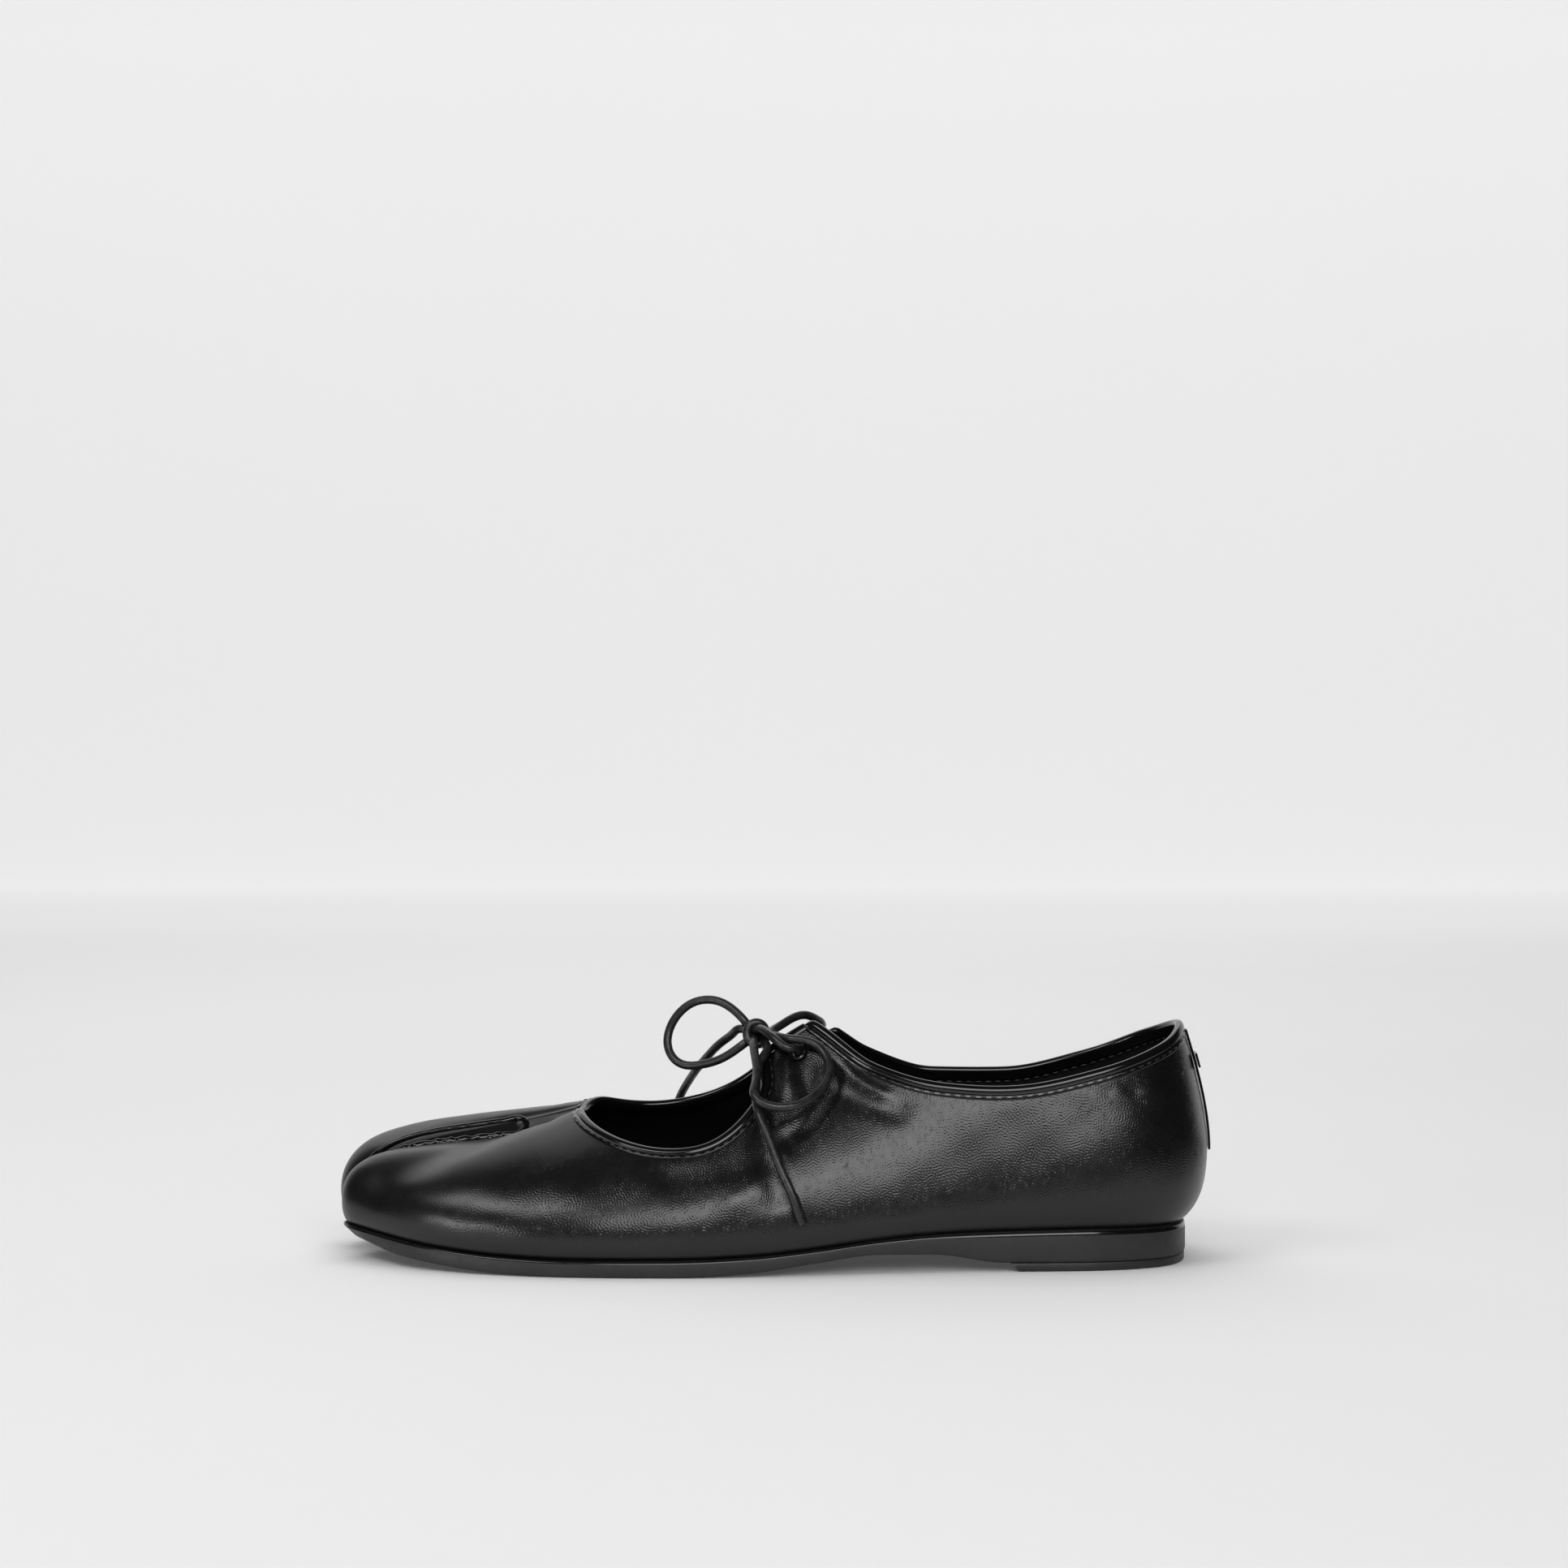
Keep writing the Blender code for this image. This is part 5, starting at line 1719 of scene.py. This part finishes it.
@dataclass
class HeelStrip:
    """The strip sewn up the back seam and the keeper across it."""

    last: Last
    finishes: Finishes
    strip_half: float = 4.5
    strip_thickness: float = 0.7
    keeper_half: float = 6.0
    keeper_thickness: float = 0.6
    keeper_heights: tuple[float, float] = (54.3, 58.4)
    columns: int = 15
    rows: int = 41
    edge_round: float = 0.25

    def patch(self, name: str, half: float, heights: tuple[float, float], proud: float, thickness: float,
              node: str) -> None:
        """A patch cut from the upper's own face and set outward.

        Args:
            name: The piece's name.
            half: Half of its width.
            heights: Its lower and upper ends.
            proud: How far it stands off the leather.
            thickness: Its thickness.
            node: The solid that it stands for.
        """
        middle = self.last.girth_of(0, Side.LATERAL)
        girth = np.linspace(middle - half, middle + half, self.columns)
        low, high = (self.last.share_at_height(girth, height) for height in heights)
        rows = []
        for t in np.linspace(0, 1, self.rows):
            share = low + (high - low) * t
            rows.append(self.last.surface(girth, share) + self.last.normal(girth, share) * proud)
        bm = grid_sheet(np.stack(rows, axis=1))
        bmesh.ops.recalc_face_normals(bm, faces=bm.faces)
        item = Bench.mesh(name, bm, [self.finishes.trim], Slot.LEATHER, [node])
        wall = item.modifiers.new("wall", "SOLIDIFY")
        wall.thickness = thickness * MM
        wall.offset = 1
        edge = item.modifiers.new("edge", "BEVEL")
        edge.width = self.edge_round * MM
        edge.segments = 3
        edge.limit_method = "ANGLE"

    def build(self) -> None:
        """Build the strip and the keeper."""
        heights = (LATERAL_RIBS[0].z, COLLAR_EDGE[0].lat_z - self.last.gap)
        self.patch("back_strip", self.strip_half, heights, self.last.gap, self.strip_thickness, "heel_tab")
        proud = self.strip_thickness + 2 * self.last.gap
        self.patch("back_keeper", self.keeper_half, self.keeper_heights, proud, self.keeper_thickness,
                   "heel_tab_bar")


# Eyelets and lace


@dataclass
class Eyelets:
    """Turned, enamelled eyelets."""

    upper: Upper
    finishes: Finishes
    steps: int = 48
    sharp: float = 35.0
    profile: Pairs = (
        (1.5, -1.9), (1.8, -1.9), (1.8, 0.25), (2.3, 0.25), (2.42, 0.45), (2.3, 0.68), (2.0, 0.8),
        (1.7, 0.72), (1.52, 0.5),
    )

    def build(self) -> None:
        """Build both eyelets in their holes."""
        for place in self.upper.eyelet_places:
            centre, normal = self.upper.eyelet(place)
            bm = bmesh.new()
            points = [bm.verts.new((radius * MM, 0, height * MM)) for radius, height in self.profile]
            edges = [bm.edges.new(pair) for pair in zip(points, points[1:] + points[:1])]
            bmesh.ops.spin(
                bm, geom=points + edges, cent=(0, 0, 0), axis=(0, 0, 1), angle=2 * math.pi, steps=self.steps,
                use_merge=True,
            )
            bmesh.ops.recalc_face_normals(bm, faces=bm.faces)
            turn = Vector(normal).to_track_quat("Z", "Y").to_matrix().to_4x4()
            bmesh.ops.transform(bm, matrix=Matrix.Translation(Vector(centre * MM)) @ turn, verts=bm.verts)
            side = place[0].name.lower()
            nodes = [f"eyelet_{side}"]
            Bench.mesh(f"eyelet_ring_{side}", bm, [self.finishes.eyelet], Slot.EYELET, nodes, self.sharp)


class LaceRoute(NamedTuple):
    """One half of the lace: from its eyelet to the knot, round a loop, and out to its tip."""

    name: str
    length_m: float
    nodes: tuple[str, ...]
    tip_node: str
    points: tuple[tuple[float, float, float], ...]


OUTER_POINTS = (
    (5.3, -18.8, 61.4), (2.4, -17.6, 63.3), (-0.4, -14.2, 65.2), (-2.4, -10.4, 66.4), (-4.0, -6.8, 65.6),
    (-4.8, -4.0, 64.4), (-4.4, -6.6, 63.2), (-4.4, -10.8, 63.0), (-4.2, -17.8, 60.2), (-3.4, -24.2, 56.4),
    (-3.8, -29.8, 52.4), (-4.1, -34.0, 49.5), (-1.1, -35.8, 47.4), (3.3, -36.0, 46.6), (7.6, -35.0, 47.0),
    (12.2, -32.2, 49.1), (16.0, -28.5, 52.8), (17.1, -25.0, 56.2), (16.1, -21.5, 59.4),
    (13.5, -18.8, 62.4), (10.6, -17.2, 63.5), (7.7, -16.4, 63.8), (4.7, -15.0, 63.9), (2.2, -12.4, 64.4),
    (-0.6, -8.6, 64.2), (-2.8, -5.2, 63.6), (-2.6, -5.6, 61.9), (-1.2, -8.6, 61.6), (-0.4, -13.2, 60.6),
    (-1.9, -15.8, 58.6), (-3.0, -18.2, 56.2), (-3.6, -21.8, 53.4), (-3.8, -26.0, 50.0),
    (-3.5, -30.0, 46.9), (-2.8, -33.2, 44.4), (-1.6, -35.2, 41.6), (0.2, -37.2, 37.6), (2.0, -39.5, 33.0),
    (4.0, -41.3, 28.5), (6.4, -42.6, 23.5), (7.9, -43.0, 19.4), (9.2, -43.2, 15.6),
)
INNER_POINTS = (
    (15.4, 18.6, 64.2), (13.9, 12.8, 67.1), (9.9, 8.0, 68.9), (6.2, 5.0, 67.9), (3.2, 2.2, 66.2),
    (0.8, -0.4, 65.0), (-0.4, -3.6, 64.4), (-1.0, -6.2, 63.2), (-2.2, -7.6, 61.7), (-4.2, -7.9, 61.3),
    (-6.1, -7.4, 62.6), (-6.7, -6.9, 65.0), (-5.7, -6.6, 67.3), (-3.6, -6.5, 68.1), (-1.6, -6.2, 67.0),
    (-1.2, -4.4, 65.4), (-2.6, -2.6, 64.4), (-4.8, -2.4, 65.2), (-7.0, -3.6, 67.8), (-10.1, -1.5, 70.8),
    (-14.2, 1.0, 73.2), (-18.5, 3.0, 73.7), (-22.8, 4.5, 72.5), (-26.6, 5.0, 69.4), (-29.2, 5.0, 64.9),
    (-29.8, 4.0, 60.8), (-28.4, 2.5, 57.1), (-25.0, 0.5, 54.9), (-20.2, -1.5, 55.1), (-15.5, -3.4, 56.4),
    (-11.2, -4.8, 58.7), (-7.5, -5.2, 61.4), (-5.4, -4.6, 63.2), (-5.8, -2.8, 64.9), (-8.2, -2.0, 65.8),
    (-10.4, 1.4, 64.2), (-14.2, 7.0, 60.8), (-18.3, 14.0, 56.2), (-21.6, 20.6, 51.9),
    (-24.3, 27.0, 47.6), (-26.7, 31.8, 43.2), (-28.7, 35.4, 37.6), (-30.7, 39.2, 30.0),
)
LACE_ROUTES = [
    LaceRoute(
        "lace_outer", 0.1915, ("lace_bar_lateral", "lace_loop_side", "lace_end_side"), "lace_tip_side",
        OUTER_POINTS,
    ),
    LaceRoute(
        "lace_inner", 0.201, ("lace_bar_medial", "lace_loop_front", "lace_end_front", "lace_knot"),
        "lace_tip_front", INNER_POINTS,
    ),
]


@dataclass
class LaceBow:
    """A round lace through both eyelets, tied in a bow, as its two halves."""

    upper: Upper
    finishes: Finishes
    diameter: float = 2.5
    through: tuple[float, ...] = (-2.4, -0.9, 0.9, 2.4)
    step: float = 0.9
    held_run: float = 8.0
    clearance: float = 0.12
    easing: int = 4
    rest_columns: int = 700
    rest_rows: int = 50
    tip_length: float = 8.5
    tip_step: float = 0.5
    tip_overhang: float = 0.4
    tip_points: int = 28
    tip_wall: float = 0.08
    tip_overlap: float = 0.22
    tip_sharp: float = 45.0

    def rests(self) -> tuple[Array, Array]:
        """The leather's face, which the lace may lie on.

        Returns:
            Places on the face, and the outward direction at each.
        """
        last = self.upper.last
        girth = np.linspace(0, last.girth[-1], self.rest_columns)
        top = last.top_share(girth)
        rows = np.linspace(0, 1, self.rest_rows)
        places = [last.surface(girth, top * row) for row in rows]
        outward = [last.normal(girth, top * row) for row in rows]
        return np.concatenate(places), np.concatenate(outward)

    def eased(self, points: Array, start: int) -> Array:
        """A run of the lace moved out of the leather.

        Args:
            points: The run.
            start: The first point that is free to move.

        Returns:
            The run, clear of the leather.
        """
        places, outward = self.rests()
        reach = self.diameter / 2 + self.clearance
        points = points.copy()
        for _ in range(self.easing):
            free = points[start:]
            points[start + 1 : -1] = (free[:-2] + 2 * free[1:-1] + free[2:]) / 4
            for i in range(start, len(points)):
                away = points[i] - places
                height = np.einsum("ij,ij->i", away, outward)
                beside = np.linalg.norm(away - outward * height[:, None], axis=1)
                dome = np.sqrt(np.maximum(reach**2 - beside**2, 0))
                short = np.where((beside < reach) & (height > -2 * reach), dome - height, 0)
                worst = int(np.argmax(short))
                points[i] += outward[worst] * short[worst]
        return points

    def build(self) -> None:
        """Build both halves and their tips."""
        for route, place in zip(LACE_ROUTES, self.upper.eyelet_places):
            centre, normal = self.upper.eyelet(place)
            entry = [centre + normal * height for height in self.through]
            points = smooth_route([*entry, *route.points], self.step)
            points = self.eased(points, int(self.held_run / self.step))
            tip = self.tip(route, points)
            self.half(route, points, Vector(centre * MM), tip)

    def half(self, route: LaceRoute, points: Array, exit_point: Vector, tip: bpy.types.Object) -> None:
        """One half of the lace as a round cord.

        Args:
            route: Its name, length and solids.
            points: Its points.
            exit_point: Not used.
            tip: Not used.
        """
        curve = bpy.data.curves.new(route.name, "CURVE")
        curve.dimensions = "3D"
        curve.bevel_depth = self.diameter / 2 * MM
        curve.bevel_resolution = 5
        curve.use_fill_caps = True
        spline = curve.splines.new("POLY")
        spline.points.add(len(points) - 1)
        for point, place in zip(spline.points, points):
            point.co = (*(place * MM), 1)
        spline.use_smooth = True
        cord = Bench.piece(route.name, curve, [self.finishes.lace], Slot.LACE, route.nodes)
        LOG.info("lace %s is %.1f mm long", route.name, run_length(points)[-1])

    def tip(self, route: LaceRoute, points: Array) -> bpy.types.Object:
        """The rolled sleeve on the lace's end, with its overlapped edge.

        Args:
            route: The lace's name and the solid that the sleeve stands for.
            points: The lace's points.

        Returns:
            The sleeve.
        """
        length = run_length(points)
        run = points[length > length[-1] - self.tip_length]
        beyond = run[-1:] + unit(run[-1:] - run[-2:-1]) * self.tip_overhang
        run = np.concatenate([even_run(run, self.tip_step), beyond])
        angle = np.linspace(0, 2 * math.pi, self.tip_points, endpoint=False)
        radius = self.diameter / 2 + self.tip_wall + self.tip_overlap * angle / (2 * math.pi)
        profile = np.stack([radius * np.cos(angle), radius * np.sin(angle)], axis=1)
        bm = swept(run, *path_frames(run), profile)
        name = route.name.replace("lace", "lace_sleeve")
        return Bench.mesh(name, bm, [self.finishes.lace], Slot.LACE, [route.tip_node], self.tip_sharp)


# The studio


class SoftBox(NamedTuple):
    """A soft light: its place, target and size in metres, its power in watts, and whether gloss shows it."""

    name: str
    place: tuple[float, float, float]
    target: tuple[float, float, float]
    size: tuple[float, float]
    power: float
    mirrored: bool = True


SOFT_BOXES = [
    SoftBox("overhead", (0.0, 0.1, 1.6), (0.0, 0.0, 0.0), (1.6, 1.6), 20.0, mirrored=False),
    SoftBox("rear_top", (-0.3, 1.2, 1.3), (-0.05, 0.0, 0.03), (1.9, 0.9), 5.0),
    SoftBox("front_box", (0.18, -1.31, 0.74), (0.0, 0.0, 0.03), (1.05, 0.7), 12.0),
    SoftBox("toe_box", (-0.8, -0.72, 1.15), (-0.06, 0.0, 0.03), (0.75, 0.45), 6.0),
    SoftBox("low_card", (-0.68, -0.58, 0.06), (-0.08, -0.03, 0.015), (0.3, 0.08), 1.1),
]


@dataclass
class Studio:
    """Pale paper, soft lights and the camera."""

    camera_m: tuple[float, float, float] = (0.0042, -0.85, 0.1364)
    focal_pixels: float = 3612.5
    image_pixels: float = 1932.0
    sensor_mm: float = 36.0
    nearest_m: float = 0.01
    paper: Colour = (0.62, 0.62, 0.62)
    paper_shade: float = 0.985
    paper_patches: Noise = Noise(3)
    paper_roughness: float = 0.9
    glow: Pairs = (
        (-0.35, 0.0), (0.1, 0.075), (0.6, 0.165), (1.2, 0.3), (2.0, 0.51), (3.0, 0.61), (4.5, 0.67)
    )
    near_half_m: tuple[float, float] = (0.3, 0.3)
    half_width_m: float = 6.0
    front_m: float = -3.0
    bend_m: float = 3.0
    bend_radius_m: float = 1.5
    bend_points: int = 24
    height_m: float = 4.0
    room_glow: float = 0.03

    def build(self) -> None:
        """Set up the paper, the lights and the camera."""
        self.build_paper()
        for box in SOFT_BOXES:
            self.light(box)
        world = bpy.data.worlds.new("dim_room")
        world.use_nodes = True
        background = world.node_tree.nodes["Background"]
        background.inputs["Color"].default_value = (1, 1, 1, 1)
        background.inputs["Strength"].default_value = self.room_glow
        bpy.context.scene.world = world
        bpy.context.scene.view_settings.view_transform = "Standard"
        camera = bpy.data.cameras.new("photo_camera")
        camera.sensor_width = self.sensor_mm
        camera.lens = self.sensor_mm * self.focal_pixels / self.image_pixels
        camera.clip_start = self.nearest_m
        holder = bpy.data.objects.new("photo_camera", camera)
        holder.location = self.camera_m
        holder.rotation_euler = (math.pi / 2, 0, 0)
        bpy.context.collection.objects.link(holder)
        bpy.context.scene.camera = holder

    def build_paper(self) -> None:
        """A roll of pale paper that runs under the shoe and curves up far behind it.

        The shoe's gloss mirrors the paper near it and behind it, but not the rest, as if under dark boards.
        """
        radius = self.bend_radius_m
        angles = np.linspace(0, math.pi / 2, self.bend_points)
        bend = [(self.bend_m + radius * math.sin(a), radius * (1 - math.cos(a))) for a in angles]
        near_x, near_y = self.near_half_m
        flat = [(y, 0.0) for y in (self.front_m, -near_y, near_y)]
        line = flat + bend + [(self.bend_m + radius, self.height_m)]
        across = (-self.half_width_m, -near_x, near_x, self.half_width_m)
        roll = np.array([[(x, y, z) for y, z in line] for x in across]) / MM
        material = self.paper_finish()
        for name, mirrored in (("paper_mirrored", True), ("paper_beside", False)):
            bm = grid_sheet(roll)
            other = []
            for face in bm.faces:
                at = face.calc_center_median()
                if (at.y > near_y or at.length < near_y) != mirrored:
                    other.append(face)
            bmesh.ops.delete(bm, geom=other, context="FACES")
            mesh = bpy.data.meshes.new(name)
            bm.to_mesh(mesh)
            bm.free()
            mesh.shade_smooth()
            mesh.materials.append(material)
            item = bpy.data.objects.new(name, mesh)
            item.visible_glossy = mirrored
            bpy.context.collection.objects.link(item)

    def paper_finish(self) -> Material:
        """Make matt paper that glows, more so far behind the shoe where less light falls.

        Returns:
            The finish as a material.
        """
        nodes = Nodes("pale_paper")
        shaded = tuple(part * self.paper_shade for part in self.paper)
        nodes.tint(nodes.noise(self.paper_patches), shaded, self.paper)
        first, last = self.glow[0][0], self.glow[-1][0]
        depth = nodes.add("ShaderNodeSeparateXYZ", {"Vector": nodes.place()}).outputs["Y"]
        sockets = {"Value": depth, "From Min": first, "From Max": last}
        ramp = nodes.add("ShaderNodeValToRGB", {"Fac": nodes.add("ShaderNodeMapRange", sockets).outputs[0]})
        stops = ramp.color_ramp.elements
        for y, _ in self.glow[1:-1]:
            stops.new((y - first) / (last - first))
        for stop, (_, glow) in zip(stops, self.glow):
            stop.color = (glow, glow, glow, 1)
        nodes.feed(nodes.shader, {
            "Roughness": self.paper_roughness,
            "Emission Color": ramp.outputs["Color"],
            "Emission Strength": 1.0,
        })
        return nodes.material

    def light(self, box: SoftBox) -> None:
        """Set up a soft light that faces its target.

        Args:
            box: The light.
        """
        data = bpy.data.lights.new(box.name, "AREA")
        data.shape = "RECTANGLE"
        data.size, data.size_y = box.size
        data.energy = box.power
        item = bpy.data.objects.new(box.name, data)
        item.visible_glossy = box.mirrored
        item.location = box.place
        facing = Vector(box.target) - Vector(box.place)
        item.rotation_euler = facing.to_track_quat("-Z", "Y").to_euler()
        bpy.context.collection.objects.link(item)


def main() -> None:
    """Build the studio and then the shoe, piece by piece."""
    logging.basicConfig(level=logging.INFO, format="%(message)s")
    Studio().build()
    finishes = Finishes.make()
    last = Last()
    stitching = Stitching(finishes)
    upper = Upper(last, finishes)
    upper.build()
    Eyelets(upper, finishes).build()
    LaceBow(upper, finishes).build()
    Bindings(last, finishes, stitching).build()
    ToeSplit(last, finishes).build()
    SoleUnit(last, finishes).build()
    HeelStrip(last, finishes).build()


if __name__ == "__main__":
    main()
